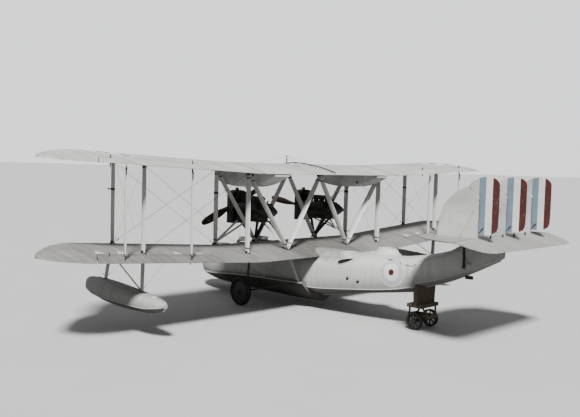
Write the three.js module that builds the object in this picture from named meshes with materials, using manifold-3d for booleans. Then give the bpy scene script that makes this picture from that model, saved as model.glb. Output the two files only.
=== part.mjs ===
// Twin-engined biplane flying boat, standing on its beaching wheels and tail trolley.
// Working axes: x forward, y to port, z up, with 0,0,0 on top of the lower wing's rear spar.
// At the end the boat is moved so that the floor is z = 0 below the middle of its box.
import * as THREE from 'three';
import { mergeVertices } from 'three/addons/utils/BufferGeometryUtils.js';
import Module from 'manifold-3d';

const wasm = await Module();
wasm.setup();

const GAP = 0.35;                 // seat gap between neighbouring pieces
const RUNNING_GAP = 14;           // gap round a control surface
const FLOOR_Z = -2320;

// Wings
const FRONT_SPAR_X = 1750;
const REAR_SPAR_X = 0;
const WING_LE_X = 2050;
const WING_TE_X = -860;
const WING_CHORD = WING_LE_X - WING_TE_X;
const INCIDENCE = THREE.MathUtils.degToRad(5);
const DIHEDRAL = { lower: THREE.MathUtils.degToRad(4), upper: THREE.MathUtils.degToRad(2.4) };
const CENTRE_HALF_SPAN = 3780;
const INNER_STRUT_Y = 3700;
const OUTER_STRUT_Y = 8050;
const UPPER_WING_RISE = 3034;     // chord line of the upper wing above that of the lower
const LOWER_CHORD_Z = -204;

// Ailerons
const AILERON_HINGE_X = -220;
const AILERON_INNER_Y = 5370;
const AILERON_OUTER_Y = 9760;     // at the hinge line, raked outwards to the trailing edge
const AILERON_RAKE = 400;
const AILERON_LINK_X = -600;
const AILERON_LINKS = { inner: 6640, outer: 9090 };      // y of the struts that join the ailerons

// Engines
const ENGINE_Y = 1900;
const CRANK_Z = 1300;
const THRUST_Z = 1450;
const ENGINE_REAR_X = 1100;
const ENGINE_FRONT_X = 2400;
const NOSE_FRONT_X = 2880;
const PROPELLER_RADIUS = 1600;
const PROPELLER_TILT = { port: -24, stbd: 11 };    // degrees above level, outer blade to port

// Tail
const TAIL_Z = 1050;
const TAIL_HINGE_X = -7870;
const RUDDER_POST_X = -7900;
const SIDE_FIN_Y = 1680;
const ELEVATOR_DROOP = THREE.MathUtils.degToRad(14);

// Beaching gear
const WHEEL = { x: 1950, y: 2210, z: -1780, radius: 540, width: 200 };
const TROLLEY = { x: -4900, wheelY: 470, radius: 300, width: 120 };

const COLOURS = {
  fabric: 0xb9bcbd, hull: 0xc2c4c3, engine: 0x1d1e20, strut: 0xa9acad, tank: 0xb4b6b5,
  blade: 0x241d19, tyre: 0x24231f, iron: 0x3d3c3a, red: 0x5a2220,
};
const FINISH = {
  fabric: [0.62, 0.05], hull: [0.5, 0.1], engine: [0.45, 0.6], strut: [0.5, 0.2], tank: [0.45, 0.2],
  blade: [0.35, 0.0], tyre: [0.9, 0.0], iron: [0.6, 0.7], red: [0.6, 0.0],
};

const boat = new THREE.Group();
const point = (x, y, z) => new THREE.Vector3(x, y, z);
const sideOf = { port: 1, stbd: -1 };

function addPiece(name, shape, finish) {
  const [roughness, metalness] = FINISH[finish];
  const material = new THREE.MeshStandardMaterial({ color: COLOURS[finish], roughness, metalness });
  const mesh = new THREE.Mesh(toGeometry(shape), material);
  mesh.name = name;
  boat.add(mesh);
}

function volumeOf(geometry) {
  const p = geometry.attributes.position;
  const index = geometry.index;
  const [a, b, c] = [new THREE.Vector3(), new THREE.Vector3(), new THREE.Vector3()];
  let sum = 0;
  for (let i = 0; i < index.count; i += 3) {
    a.fromBufferAttribute(p, index.getX(i));
    b.fromBufferAttribute(p, index.getX(i + 1));
    c.fromBufferAttribute(p, index.getX(i + 2));
    sum += a.dot(b.cross(c));
  }
  return sum;
}

function toSolid(geometry) {
  geometry.deleteAttribute('normal');
  geometry.deleteAttribute('uv');
  const merged = mergeVertices(geometry, 1e-3);
  const triVerts = new Uint32Array(merged.index.array);
  if (volumeOf(merged) < 0) triVerts.reverse();
  const vertProperties = new Float32Array(merged.attributes.position.array);
  return new wasm.Manifold(new wasm.Mesh({ numProp: 3, vertProperties, triVerts }));
}

function toGeometry(solid) {
  const mesh = solid.getMesh();
  const geometry = new THREE.BufferGeometry();
  geometry.setAttribute('position', new THREE.BufferAttribute(new Float32Array(mesh.vertProperties), 3));
  geometry.setIndex(new THREE.BufferAttribute(new Uint32Array(mesh.triVerts), 1));
  return geometry;
}

const joined = (solids) => solids.reduce((all, next) => all.add(next));

// A closed skin over rings of equal point count, with a fan over each end.
function loft(rings) {
  const count = rings[0].length;
  const points = rings.flat();
  const faces = [];
  for (let r = 0; r + 1 < rings.length; r += 1) {
    for (let i = 0; i < count; i += 1) {
      const a = r * count + i;
      const b = r * count + (i + 1) % count;
      faces.push(a, b, a + count, b, b + count, a + count);
    }
  }
  const ends = [
    { ring: rings[0], first: 0, flip: true },
    { ring: rings.at(-1), first: points.length - count, flip: false },
  ];
  for (const { ring, first, flip } of ends) {
    const centre = points.length;
    points.push(ring.reduce((sum, p) => sum.add(p), new THREE.Vector3()).divideScalar(count));
    for (let i = 0; i < count; i += 1) {
      const [a, b] = [first + i, first + (i + 1) % count];
      if (flip) faces.push(b, a, centre);
      else faces.push(a, b, centre);
    }
  }
  const geometry = new THREE.BufferGeometry().setFromPoints(points);
  geometry.setIndex(faces);
  return toSolid(geometry);
}

// A straight strut from one point to another. Its section is streamlined, chord by thickness,
// with its chord as near as it can be to the given direction.
function strut(from, to, chord, thickness, grow = 0, along = point(1, 0, 0)) {
  const axis = to.clone().sub(from).normalize();
  const thin = axis.clone().cross(along).normalize();
  const wide = thin.clone().cross(axis).normalize();
  const section = [
    [0.5, 0], [0.3, 0.42], [0, 0.5], [-0.3, 0.3], [-0.5, 0], [-0.3, -0.3], [0, -0.5], [0.3, -0.42],
  ];
  const ring = (centre) => section.map(([u, v]) => centre.clone()
    .addScaledVector(wide, u * (chord + 2 * grow)).addScaledVector(thin, v * (thickness + 2.4 * grow)));
  return loft([ring(from), ring(to)]);
}

function rod(from, to, radius, sides = 8) {
  const axis = to.clone().sub(from);
  const geometry = new THREE.CylinderGeometry(radius, radius, axis.length(), sides);
  geometry.applyQuaternion(new THREE.Quaternion().setFromUnitVectors(point(0, 1, 0), axis.normalize()));
  geometry.translate(...from.clone().add(to).multiplyScalar(0.5).toArray());
  return toSolid(geometry);
}

function block(x0, x1, y0, y1, z0, z1) {
  const geometry = new THREE.BoxGeometry(x1 - x0, y1 - y0, z1 - z0);
  geometry.translate((x0 + x1) / 2, (y0 + y1) / 2, (z0 + z1) / 2);
  return toSolid(geometry);
}

// A prism whose outline is given in two of the axes and which runs along the third.
function prism(outline, plane, low, high) {
  const shape = new THREE.Shape(outline.map(([u, v]) => new THREE.Vector2(u, v)));
  const geometry = new THREE.ExtrudeGeometry(shape, { depth: high - low, bevelEnabled: false });
  const place = {
    xz: (u, v, w) => [u, low + w, v], yz: (u, v, w) => [low + w, u, v], xy: (u, v, w) => [u, v, low + w],
  }[plane];
  const p = geometry.attributes.position;
  for (let i = 0; i < p.count; i += 1) p.setXYZ(i, ...place(p.getX(i), p.getY(i), p.getZ(i)));
  return toSolid(geometry);
}

// A turned piece: profile rows are radius, distance along the axis; the axis is x, y or z.
function turned(profile, axis, centre, segments = 24) {
  const geometry = new THREE.LatheGeometry(profile.map(([r, h]) => new THREE.Vector2(r, h)), segments);
  if (axis === 'x') geometry.rotateZ(-Math.PI / 2);
  if (axis === 'z') geometry.rotateX(Math.PI / 2);
  geometry.translate(...centre);
  return toSolid(geometry);
}

function offsetOutline(outline, distance) {
  const n = outline.length;
  return outline.map(([x, z], i) => {
    const [ax, az] = outline[(i + n - 1) % n];
    const [bx, bz] = outline[(i + 1) % n];
    const [dx, dz] = [bx - ax, bz - az];
    const length = Math.hypot(dx, dz);
    return [x + (dz / length) * distance, z - (dx / length) * distance];
  });
}

// Wing section as fractions of the chord behind the leading edge: back, upper, lower.
const AEROFOIL = [
  [0.0, 0.0046, -0.0069], [0.017, 0.03, -0.0184], [0.069, 0.0564, -0.023], [0.173, 0.0771, -0.0184],
  [0.391, 0.0887, -0.0081], [0.704, 0.0702, -0.0023], [0.86, 0.048, 0.006], [1.0, 0.024, 0.017],
];

function wingOutline(leadX, trailX, thickness) {
  const chord = leadX - trailX;
  const upper = AEROFOIL.map(([back, up]) => [leadX - back * chord, up * WING_CHORD * thickness]);
  const lower = AEROFOIL.map(([back, , down]) => [leadX - back * chord, down * WING_CHORD * thickness]);
  return [...upper, ...lower.reverse()];
}

const dihedralRise = (level, y) => Math.max(0, Math.abs(y) - CENTRE_HALF_SPAN) * Math.tan(DIHEDRAL[level]);

function wingRing(level, y, leadX, trailX, thickness, grow) {
  return offsetOutline(wingOutline(leadX, trailX, thickness), grow)
    .map(([x, z]) => point(x, y, LEVELS[level] + z + x * Math.tan(INCIDENCE) + dihedralRise(level, y)));
}

// Outer panel stations: y, leading edge x, trailing edge x, thickness factor.
const PANEL_STATIONS = [
  [CENTRE_HALF_SPAN, WING_LE_X, WING_TE_X, 1], [9600, WING_LE_X, WING_TE_X, 1],
  [10250, 1750, -800, 0.86], [10800, 1250, -600, 0.6], [11200, 750, -300, 0.38], [11430, 330, 50, 0.2],
];
const LEVELS = { lower: LOWER_CHORD_Z, upper: LOWER_CHORD_Z + UPPER_WING_RISE };

// Height of a wing's skin at x: column 1 of the section table is the top, column 2 the underside.
function skinZ(level, x, column) {
  const back = (WING_LE_X - x) / WING_CHORD;
  const next = AEROFOIL.findIndex((row) => row[0] >= back);
  const [p, q] = [AEROFOIL[next - 1], AEROFOIL[next]];
  const share = (back - p[0]) / (q[0] - p[0]);
  const height = WING_CHORD * THREE.MathUtils.lerp(p[column], q[column], share);
  return LEVELS[level] + height + x * Math.tan(INCIDENCE);
}
const lowerTop = (x) => skinZ('lower', x, 1);
const upperUnder = (x) => skinZ('upper', x, 2);

function centreWing(level, grow = 0) {
  const end = CENTRE_HALF_SPAN - GAP + grow;
  const ring = (y) => wingRing(level, Math.abs(y) > CENTRE_HALF_SPAN ? Math.sign(y) * CENTRE_HALF_SPAN : y,
    WING_LE_X, WING_TE_X, 1, grow);
  return loft([ring(-end), ring(end)]);
}

function wingPanel(level, side, grow = 0) {
  return loft(PANEL_STATIONS.map(([y, lead, trail, thick]) => (
    wingRing(level, sideOf[side] * y, lead, trail, thick, grow))));
}

// Aileron: round nose about the hinge line, then straight to the wing's trailing edge.
const hingeRise = AILERON_HINGE_X * Math.tan(INCIDENCE);
const hingeTop = skinZ('lower', AILERON_HINGE_X, 1) - LEVELS.lower - hingeRise;
const hingeUnder = skinZ('lower', AILERON_HINGE_X, 2) - LEVELS.lower - hingeRise;
const AILERON_NOSE = (hingeTop - hingeUnder) / 2 - 2;
const AILERON_MID = (hingeTop + hingeUnder) / 2;
const PANEL_REAR_X = AILERON_HINGE_X + AILERON_NOSE + RUNNING_GAP;

const hingeZ = (level, y) => LEVELS[level] + AILERON_MID + hingeRise + dihedralRise(level, y);

function noseArc(radius, steps) {
  return Array.from({ length: steps + 1 }, (_, i) => {
    const angle = -Math.PI / 2 + (Math.PI * i) / steps;
    return [radius * Math.cos(angle), radius * Math.sin(angle)];
  });
}

// The trailing edge follows the wing's own section.
const [, EDGE_TOP, EDGE_UNDER] = AEROFOIL.at(-1);

function aileronRing(level, y, trailX) {
  const nose = noseArc(AILERON_NOSE, 6).map(([x, z]) => point(AILERON_HINGE_X + x, y, hingeZ(level, y) + z));
  const edge = [EDGE_TOP, EDGE_UNDER].map((share) => point(trailX, y,
    LEVELS[level] + WING_CHORD * share + trailX * Math.tan(INCIDENCE) + dihedralRise(level, y)));
  return [...nose, ...edge];
}

function aileronPlan(side, inset) {
  const s = sideOf[side];
  const [front, rear] = [PANEL_REAR_X, WING_TE_X - 300];
  const rakeEnd = AILERON_OUTER_Y + AILERON_RAKE * ((front - rear) / (front - WING_TE_X));
  const outerInset = 2.6 * inset;
  const [underAll, overAll] = [-1500, 5000];
  const plan = [[front, s * (AILERON_INNER_Y + inset)], [rear, s * (AILERON_INNER_Y + inset)],
    [rear, s * (rakeEnd - outerInset)], [front, s * (AILERON_OUTER_Y - outerInset)]];
  return prism(plan, 'xy', underAll, overAll);
}

function aileron(level, side) {
  const s = sideOf[side];
  const rows = [[AILERON_INNER_Y, WING_TE_X], [9600, WING_TE_X], [10250, -800]];
  const whole = loft(rows.map(([y, trailX]) => aileronRing(level, s * y, trailX)));
  return whole.intersect(aileronPlan(side, RUNNING_GAP));
}

// Hinge brackets on the panel's rear face: each ends just short of the aileron's round nose.
const AILERON_BRACKETS = [5900, 7500, 9600];

function aileronBrackets(level, side) {
  return joined(AILERON_BRACKETS.map((at) => {
    const y = sideOf[side] * at;
    const z = hingeZ(level, y);
    return block(AILERON_HINGE_X + AILERON_NOSE + GAP, PANEL_REAR_X + 30, y - 25, y + 25, z - 24, z + 24);
  }));
}

function buildWings() {
  for (const level of ['lower', 'upper']) {
    addPiece(`${level}_centre_wing`, centreWing(level), 'fabric');
    for (const side of ['port', 'stbd']) {
      const panel = wingPanel(level, side).subtract(aileronPlan(side, 0)).add(aileronBrackets(level, side));
      addPiece(`${level}_wing_${side}`, panel, 'fabric');
      addPiece(`aileron_${level}_${side}`, aileron(level, side), 'fabric');
    }
  }
}

// Everything that a strut may stand on, a seat gap larger than the piece itself.
const grownWings = (() => {
  const parts = ['lower', 'upper'].flatMap((level) => [centreWing(level, GAP),
    wingPanel(level, 'port', GAP), wingPanel(level, 'stbd', GAP)]);
  return joined(parts);
})();

function buildOuterStruts() {
  for (const side of ['port', 'stbd']) {
    for (const [name, x] of [['front', FRONT_SPAR_X], ['rear', REAR_SPAR_X]]) {
      const y = sideOf[side] * OUTER_STRUT_Y;
      const piece = strut(point(x, y, lowerTop(x) + dihedralRise('lower', y) - 40),
        point(x, y, upperUnder(x) + dihedralRise('upper', y) + 40), 190, 62);
      addPiece(`outer_strut_${name}_${side}`, piece.subtract(grownWings), 'strut');
    }
    for (const [name, y] of Object.entries(AILERON_LINKS)) {
      addPiece(`aileron_link_${name}_${side}`, aileronLink(sideOf[side] * y), 'strut');
    }
  }
}

// Light strut between two ailerons. Its round foot sits on the lower one, and turns about the foot's
// middle; its upper eye is left open by LINK_EYE_GAP, because it drifts a little as the ailerons move.
const LINK_FOOT_RADIUS = 16;
const LINK_EYE_GAP = 25;

function aileronSkin(x, upper) {
  const share = (x - AILERON_HINGE_X) / (WING_TE_X - AILERON_HINGE_X);
  const [nose, edge] = upper ? [AILERON_MID + AILERON_NOSE, WING_CHORD * EDGE_TOP]
    : [AILERON_MID - AILERON_NOSE, WING_CHORD * EDGE_UNDER];
  return THREE.MathUtils.lerp(nose, edge, share) + x * Math.tan(INCIDENCE);
}

function linkFoot(y) {
  const rise = aileronSkin(WING_TE_X, true) - aileronSkin(AILERON_HINGE_X, true);
  const slope = rise / (WING_TE_X - AILERON_HINGE_X);
  const lift = (LINK_FOOT_RADIUS + GAP) * Math.hypot(1, slope);
  const skin = LEVELS.lower + aileronSkin(AILERON_LINK_X, true) + dihedralRise('lower', y);
  return point(AILERON_LINK_X, y, skin + lift);
}

function aileronLink(y) {
  const foot = linkFoot(y);
  const eye = LEVELS.upper + aileronSkin(AILERON_LINK_X, false) + dihedralRise('upper', y) - LINK_EYE_GAP;
  const across = point(0, 11, Math.sign(y) * 11 * Math.tan(DIHEDRAL.lower));
  const pin = rod(foot.clone().sub(across), foot.clone().add(across), LINK_FOOT_RADIUS, 16);
  const shank = strut(foot.clone().add(point(0, 0, 60)), point(foot.x, y, eye - 60), 70, 38);
  const ends = rod(foot, point(foot.x, y, eye), 9);
  return joined([pin, shank, ends]);
}

// Centre truss of one spar plane: uprights at the inner struts and a W between them.
const TRUSS_VERTEX_Y = 1700;

function truss(x, grow = 0) {
  const foot = lowerTop(x);
  const top = upperUnder(x);
  const [halfX, halfY] = [95 + grow, 85 + grow];
  const fitting = (y, z0, z1) => block(x - halfX, x + halfX, y - halfY, y + halfY, z0 - grow, z1 + grow);
  const pieces = [fitting(0, top - 110, top + 50)];
  for (const s of [1, -1]) {
    const upright = s * INNER_STRUT_Y;
    const vertex = point(x, s * TRUSS_VERTEX_Y, foot + 20);
    pieces.push(strut(point(x, upright, foot - 40), point(x, upright, top + 40), 190, 66, grow));
    pieces.push(strut(vertex, point(x, upright - s * 20, top - 70), 200, 74, grow));
    pieces.push(strut(vertex, point(x, 0, top - 70), 200, 74, grow));
    pieces.push(fitting(s * TRUSS_VERTEX_Y, foot - 60, foot + 110));
  }
  return joined(pieces).subtract(grownWings);
}

function buildTrusses() {
  addPiece('truss_front', truss(FRONT_SPAR_X), 'strut');
  addPiece('truss_rear', truss(REAR_SPAR_X), 'strut');
}

// Engine: crankcase with three banks in a W, a gear nose ahead and the oil tank's cone behind.
const BANK_LENGTH = 580;
const BANK_HALF_WIDTH = 120;
const CASE_BOTTOM = -300;

function engineOutline() {
  const [c, s] = [Math.cos(Math.PI / 6), Math.sin(Math.PI / 6)];
  const half = [
    [200, CASE_BOTTOM], [260, -50],
    [c * BANK_LENGTH + s * BANK_HALF_WIDTH, s * BANK_LENGTH - c * BANK_HALF_WIDTH],
    [c * BANK_LENGTH - s * BANK_HALF_WIDTH, s * BANK_LENGTH + c * BANK_HALF_WIDTH],
    [150, 250], [130, 620],
  ];
  return [...half, ...half.map(([y, z]) => [-y, z]).reverse()];
}

function engine(side) {
  const y0 = sideOf[side] * ENGINE_Y;
  const outline = engineOutline().map(([y, z]) => [y0 + y, CRANK_Z + z]);
  const body = prism(outline, 'yz', ENGINE_REAR_X, ENGINE_FRONT_X);
  const nose = turned([[0, -600], [145, -600], [145, 0], [0, 0]], 'x', [NOSE_FRONT_X, y0, THRUST_Z]);
  const cone = turned([[0, -720], [70, -700], [220, -420], [270, -150], [270, 10], [0, 10]], 'x',
    [ENGINE_REAR_X, y0, CRANK_Z + 60]);
  return joined([body, nose, cone]);
}

const RADIATOR = { rear: 2450, front: 2810, half: 360, bottom: 820, shoulder: 1960, top: 2110 };

function radiator(side) {
  const y0 = sideOf[side] * ENGINE_Y;
  const { half, bottom, shoulder, top } = RADIATOR;
  const arc = Array.from({ length: 9 }, (_, i) => {
    const angle = (Math.PI * i) / 8;
    return [y0 + half * Math.cos(angle), shoulder + (top - shoulder) * Math.sin(angle)];
  });
  const body = prism([[y0 - half, bottom], [y0 + half, bottom], ...arc], 'yz', RADIATOR.rear, RADIATOR.front);
  const capX = (RADIATOR.rear + RADIATOR.front) / 2;
  const cap = turned([[0, -60], [70, -60], [70, 70], [45, 95], [0, 95]], 'z', [capX, y0, top], 12);
  const shaftWay = turned([[0, -900], [147, -900], [147, 200], [0, 200]], 'x', [NOSE_FRONT_X, y0, THRUST_Z]);
  return body.add(cap).subtract(shaftWay);
}

const BEARER = { half: 30, offset: 170 };

function engineMount(side) {
  const s = sideOf[side];
  const top = CRANK_Z + CASE_BOTTOM - GAP;
  const mid = top - BEARER.half;
  const rearX = 900;
  const frontX = RADIATOR.rear - GAP;
  const pieces = [];
  for (const offset of [-BEARER.offset, BEARER.offset]) {
    const y = s * ENGINE_Y + offset;
    pieces.push(block(rearX, frontX, y - BEARER.half, y + BEARER.half, top - 2 * BEARER.half, top));
    for (const [footX, headX] of [[FRONT_SPAR_X, 2300], [FRONT_SPAR_X, 1250], [REAR_SPAR_X, rearX + 60]]) {
      pieces.push(rod(point(footX, s * TRUSS_VERTEX_Y, lowerTop(footX) + 70), point(headX, y, mid), 27));
    }
  }
  for (const x of [rearX + 40, 1700, frontX - 60]) {
    const y = s * ENGINE_Y;
    pieces.push(block(x - 25, x + 25, y - BEARER.offset, y + BEARER.offset, top - 50, top - 10));
  }
  for (const headX of [2330, 1800]) {
    pieces.push(rod(point(FRONT_SPAR_X, s * (INNER_STRUT_Y - 10), lowerTop(FRONT_SPAR_X) + 90),
      point(headX, s * ENGINE_Y + s * BEARER.offset, mid), 27));
  }
  const trusses = truss(FRONT_SPAR_X, GAP).add(truss(REAR_SPAR_X, GAP));
  return joined(pieces).subtract(trusses).subtract(grownWings);
}

function propeller(side) {
  const hubFront = 250;
  const hub = turned([[0, 0], [150, 0], [150, 110], [110, 200], [60, hubFront], [0, hubFront]], 'x',
    [NOSE_FRONT_X + GAP, 0, 0]);
  const bladeX = NOSE_FRONT_X + GAP + 90;
  // radius, chord, thickness, pitch in degrees
  const stations = [[60, 150, 120, 60], [320, 190, 85, 48], [800, 270, 50, 30], [1250, 230, 30, 21],
    [1520, 140, 18, 18], [PROPELLER_RADIUS, 60, 10, 17]];
  const blade = (turn) => loft(stations.map(([r, chord, thick, pitch]) => {
    const angle = THREE.MathUtils.degToRad(pitch);
    const shape = [[-0.5, 0], [-0.2, -0.3], [0.3, -0.3], [0.5, 0], [0.3, 0.5], [-0.2, 0.5]];
    return shape.map(([u, v]) => point(
      bladeX + u * chord * Math.sin(angle) + v * thick * Math.cos(angle),
      turn * r,
      turn * (u * chord * Math.cos(angle) - v * thick * Math.sin(angle)),
    ));
  }));
  return joined([hub, blade(1), blade(-1)])
    .rotate([PROPELLER_TILT[side], 0, 0])
    .translate([0, sideOf[side] * ENGINE_Y, THRUST_Z]);
}

function buildEngines() {
  for (const side of ['port', 'stbd']) {
    addPiece(`engine_${side}`, engine(side), 'engine');
    addPiece(`radiator_${side}`, radiator(side), 'engine');
    addPiece(`engine_mount_${side}`, engineMount(side), 'strut');
    addPiece(`propeller_${side}`, propeller(side), 'blade');
  }
}

// Fuel tank hung under the upper wing, its belly shaped like a wing section.
const TANK = { y: 2880, half: 360 };
const TANK_SIDE = [
  [2490, 2730], [2430, 2620], [2250, 2490], [1800, 2360], [1200, 2300], [500, 2310], [-150, 2420],
  [-600, 2600], [-840, 2720], [-840, 2795], [1900, 3000], [2080, 3010],
];

function buildTanks() {
  for (const side of ['port', 'stbd']) {
    const y = sideOf[side] * TANK.y;
    const tank = prism(TANK_SIDE, 'xz', y - TANK.half, y + TANK.half);
    addPiece(`fuel_tank_${side}`, tank.subtract(grownWings), 'tank');
  }
}

// Hull stations: x, keel z, chine z, deck z, half width.
const HULL_STATIONS = [
  [6750, -1530, -1420, -1090, 120], [6640, -1650, -1470, -850, 300], [6300, -1760, -1500, -660, 510],
  [5600, -1860, -1500, -500, 740], [4500, -1900, -1420, -330, 900], [3000, -1900, -1330, -130, 980],
  [1000, -1880, -1380, -40, 1000], [-300, -1800, -1420, -10, 990], [-2400, -1440, -1240, 10, 930],
  [-4050, -1180, -1030, 70, 800], [-4950, -1030, -840, 200, 690], [-4955, -900, -730, 202, 688],
  [-5950, -560, -430, 460, 520], [-6900, -120, -20, 950, 370], [-7780, 340, 400, 1012, 200],
];

function hullRing([x, keel, chine, deck, half], grow) {
  const rise = deck - chine;
  const right = [
    [0, keel], [0.5 * half, keel + 0.4 * (chine - keel)], [0.93 * half, chine], [half, chine + 0.4 * rise],
    [0.94 * half, chine + 0.68 * rise], [0.74 * half, chine + 0.87 * rise], [0.4 * half, chine + 0.97 * rise],
    [0, deck],
  ];
  const outline = [...right, ...right.slice(1, -1).reverse().map(([y, z]) => [-y, z])];
  return offsetOutline(outline, grow).map(([y, z]) => point(x, y, z));
}

// Cockpit wells: x, y, radius along x, radius along y, floor z, rim z.
const COCKPITS = {
  bow: [5750, 0, 400, 370, -1400, -470],
  pilot_front: [4100, 0, 430, 350, -1150, -190],
  pilot_rear: [2950, 0, 430, 350, -1050, -60],
  rear_port: [-1960, 400, 350, 290, -850, 60],
  rear_stbd: [-3050, -380, 350, 290, -800, 90],
};
const RIM = 45;

function well([x, y, a, b, floor, rim], grow, low, high) {
  const outline = Array.from({ length: 16 }, (_, i) => {
    const angle = (2 * Math.PI * i) / 16;
    return [x + (a + grow) * Math.cos(angle), y + (b + grow) * Math.sin(angle)];
  });
  return prism(outline, 'xy', low ?? floor, high ?? rim);
}

function hullBody(grow = 0) {
  return loft(HULL_STATIONS.map((station) => hullRing(station, grow)));
}

function wingSaddle() {
  const under = wingOutline(WING_LE_X, WING_TE_X, 1).slice(AEROFOIL.length).reverse();
  const lift = ([x, z]) => [x, z + LEVELS.lower + x * Math.tan(INCIDENCE) - GAP];
  const outline = [...under.map(lift), [WING_TE_X - GAP, 600], [WING_LE_X + GAP, 600]];
  outline[0][0] += GAP;
  outline[AEROFOIL.length - 1][0] -= GAP;
  return prism(outline, 'xz', -1300, 1300);
}

function buildHull() {
  const rims = Object.values(COCKPITS).map((c) => well(c, RIM, c[5] - 260));
  const wells = joined(Object.values(COCKPITS).map((c) => well(c, 0, c[4], 500)));
  const body = hullBody().add(joined(rims)).subtract(wells).subtract(wingSaddle()).subtract(tailplane(GAP));
  addPiece('hull', body, 'hull');
  addPiece('planing_bottom', planingBottom().subtract(hullBody(GAP)), 'hull');
}

// Planing bottom ahead of the main step: x, keel z, chine z, chine half width.
const BOTTOM_STATIONS = [
  [6720, -1580, -1440, 90], [6550, -1760, -1560, 330], [6100, -1930, -1620, 620], [5000, -2030, -1560, 960],
  [3600, -2080, -1420, 1160], [1500, -2100, -1330, 1230], [-330, -2100, -1290, 1200],
];

function planingBottom(grow = 0) {
  return loft(BOTTOM_STATIONS.map(([x, keel, chine, half]) => {
    const right = [[0, keel], [0.6 * half, keel + 0.5 * (chine - keel)], [half, chine], [half, chine + 55],
      [0.5 * half, chine + 75]];
    const outline = [...right, ...right.slice(1).reverse().map(([y, z]) => [-y, z])];
    return offsetOutline(outline, grow).map(([y, z]) => point(x, y, z));
  }));
}

// Struts from the wing's inner fittings down to the chine.
const HULL_STRUTS = [
  { name: 'front', x: FRONT_SPAR_X, footY: 1150, footZ: -1300 },
  { name: 'rear', x: REAR_SPAR_X - 60, footY: 1110, footZ: -1260 },
];

function buildHullStruts() {
  const clear = grownWings.add(hullBody(GAP)).add(planingBottom(GAP));
  for (const side of ['port', 'stbd']) {
    const s = sideOf[side];
    for (const { name, x, footY, footZ } of HULL_STRUTS) {
      const head = point(x, s * TRUSS_VERTEX_Y, lowerTop(x) - 100);
      const piece = strut(head, point(x, s * footY, footZ), 150, 62).subtract(clear);
      addPiece(`hull_strut_${name}_${side}`, piece, 'strut');
    }
  }
}

// Wing float: x, keel z, chine z, deck z, half width.
const FLOAT_STATIONS = [
  [3200, -1120, -1030, -900, 90], [2950, -1290, -1150, -785, 240], [2200, -1480, -1290, -765, 340],
  [900, -1560, -1320, -840, 370], [-300, -1530, -1330, -955, 330], [-1000, -1390, -1260, -1060, 200],
  [-1200, -1290, -1220, -1130, 80],
];
const FLOAT_LEGS = [{ headX: 1860, footX: 2120, footZ: -830 }, { headX: 0, footX: 40, footZ: -980 }];

function floatBody(side, grow = 0) {
  const y0 = sideOf[side] * OUTER_STRUT_Y;
  return loft(FLOAT_STATIONS.map(([x, keel, chine, deck, half]) => {
    const rise = deck - chine;
    const right = [[0, keel], [half, chine], [half, chine + 0.45 * rise], [0.72 * half, chine + 0.85 * rise],
      [0, deck]];
    const outline = [...right, ...right.slice(1, -1).reverse().map(([y, z]) => [-y, z])];
    return offsetOutline(outline, grow).map(([y, z]) => point(x, y0 + y, z));
  }));
}

function buildFloats() {
  for (const side of ['port', 'stbd']) {
    const y = sideOf[side] * OUTER_STRUT_Y;
    addPiece(`float_${side}`, floatBody(side), 'hull');
    const lift = dihedralRise('lower', y);
    const legs = FLOAT_LEGS.map(({ headX, footX, footZ }) => strut(point(footX, y, footZ),
      point(headX, y, lift + lowerTop(headX) - 100), 190, 55));
    const diagonal = rod(point(FLOAT_LEGS[0].headX, y, lift - 170), point(FLOAT_LEGS[1].footX, y, -900), 16);
    const frame = joined([...legs, diagonal]).subtract(floatBody(side, GAP)).subtract(grownWings);
    addPiece(`float_struts_${side}`, frame, 'strut');
  }
}

// Tailplane and elevator share a symmetrical section.
// Stations: y, leading edge x, elevator edge x, thickness.
const TAIL_STATIONS = [
  [0, -5700, -8870, 66], [1900, -5880, -8870, 62], [2350, -6300, -8860, 54], [2750, -6950, -8720, 42],
  [2960, -7600, -8300, 26],
];
const ELEVATOR_NOSE = 0.88;        // nose radius as a share of the station's half thickness
const TAILPLANE_REAR_X = TAIL_HINGE_X + TAIL_STATIONS[1][3] + RUNNING_GAP;
const ELEVATOR_BRACKETS = [950, 2340];

function tailHalfThickness(y) {
  const next = TAIL_STATIONS.findIndex((row) => row[0] >= Math.abs(y) && row[0] > 0);
  const [p, q] = [TAIL_STATIONS[next - 1], TAIL_STATIONS[next]];
  return THREE.MathUtils.lerp(p[3], q[3], (Math.abs(y) - p[0]) / (q[0] - p[0]));
}

function tailplane(grow = 0) {
  const ring = (y, lead, half) => {
    const rear = TAILPLANE_REAR_X - grow;
    const span = lead - rear;
    const [nearNose, thickest] = [lead - 0.06 * span, lead - 0.35 * span];
    const outline = [[lead, 0], [nearNose, 0.55 * half], [thickest, half], [rear, 0.9 * half],
      [rear, -0.9 * half], [thickest, -half], [nearNose, -0.55 * half]];
    return offsetOutline(outline, grow).map(([x, z]) => point(x, y, TAIL_Z + z));
  };
  const rows = TAIL_STATIONS.map(([y, lead, , half]) => [y, lead, half]);
  const mirrored = rows.slice(1).reverse().map(([y, lead, half]) => [-y, lead, half]);
  return loft([...mirrored, ...rows].map(([y, lead, half]) => ring(y, lead, half)));
}

function elevator() {
  const ring = (y, trail, half) => {
    const outline = noseArc(ELEVATOR_NOSE * half, 12);
    outline.push([trail - TAIL_HINGE_X, 5], [trail - TAIL_HINGE_X, -5]);
    const [c, s] = [Math.cos(ELEVATOR_DROOP), Math.sin(ELEVATOR_DROOP)];
    return outline.map(([x, z]) => point(TAIL_HINGE_X + c * x - s * z, y, TAIL_Z + s * x + c * z));
  };
  const rows = TAIL_STATIONS.map(([y, , trail, half]) => [y, trail, half]);
  const mirrored = rows.slice(1).reverse().map(([y, trail, half]) => [-y, trail, half]);
  return loft([...mirrored, ...rows].map(([y, trail, half]) => ring(y, trail, half)));
}

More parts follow.
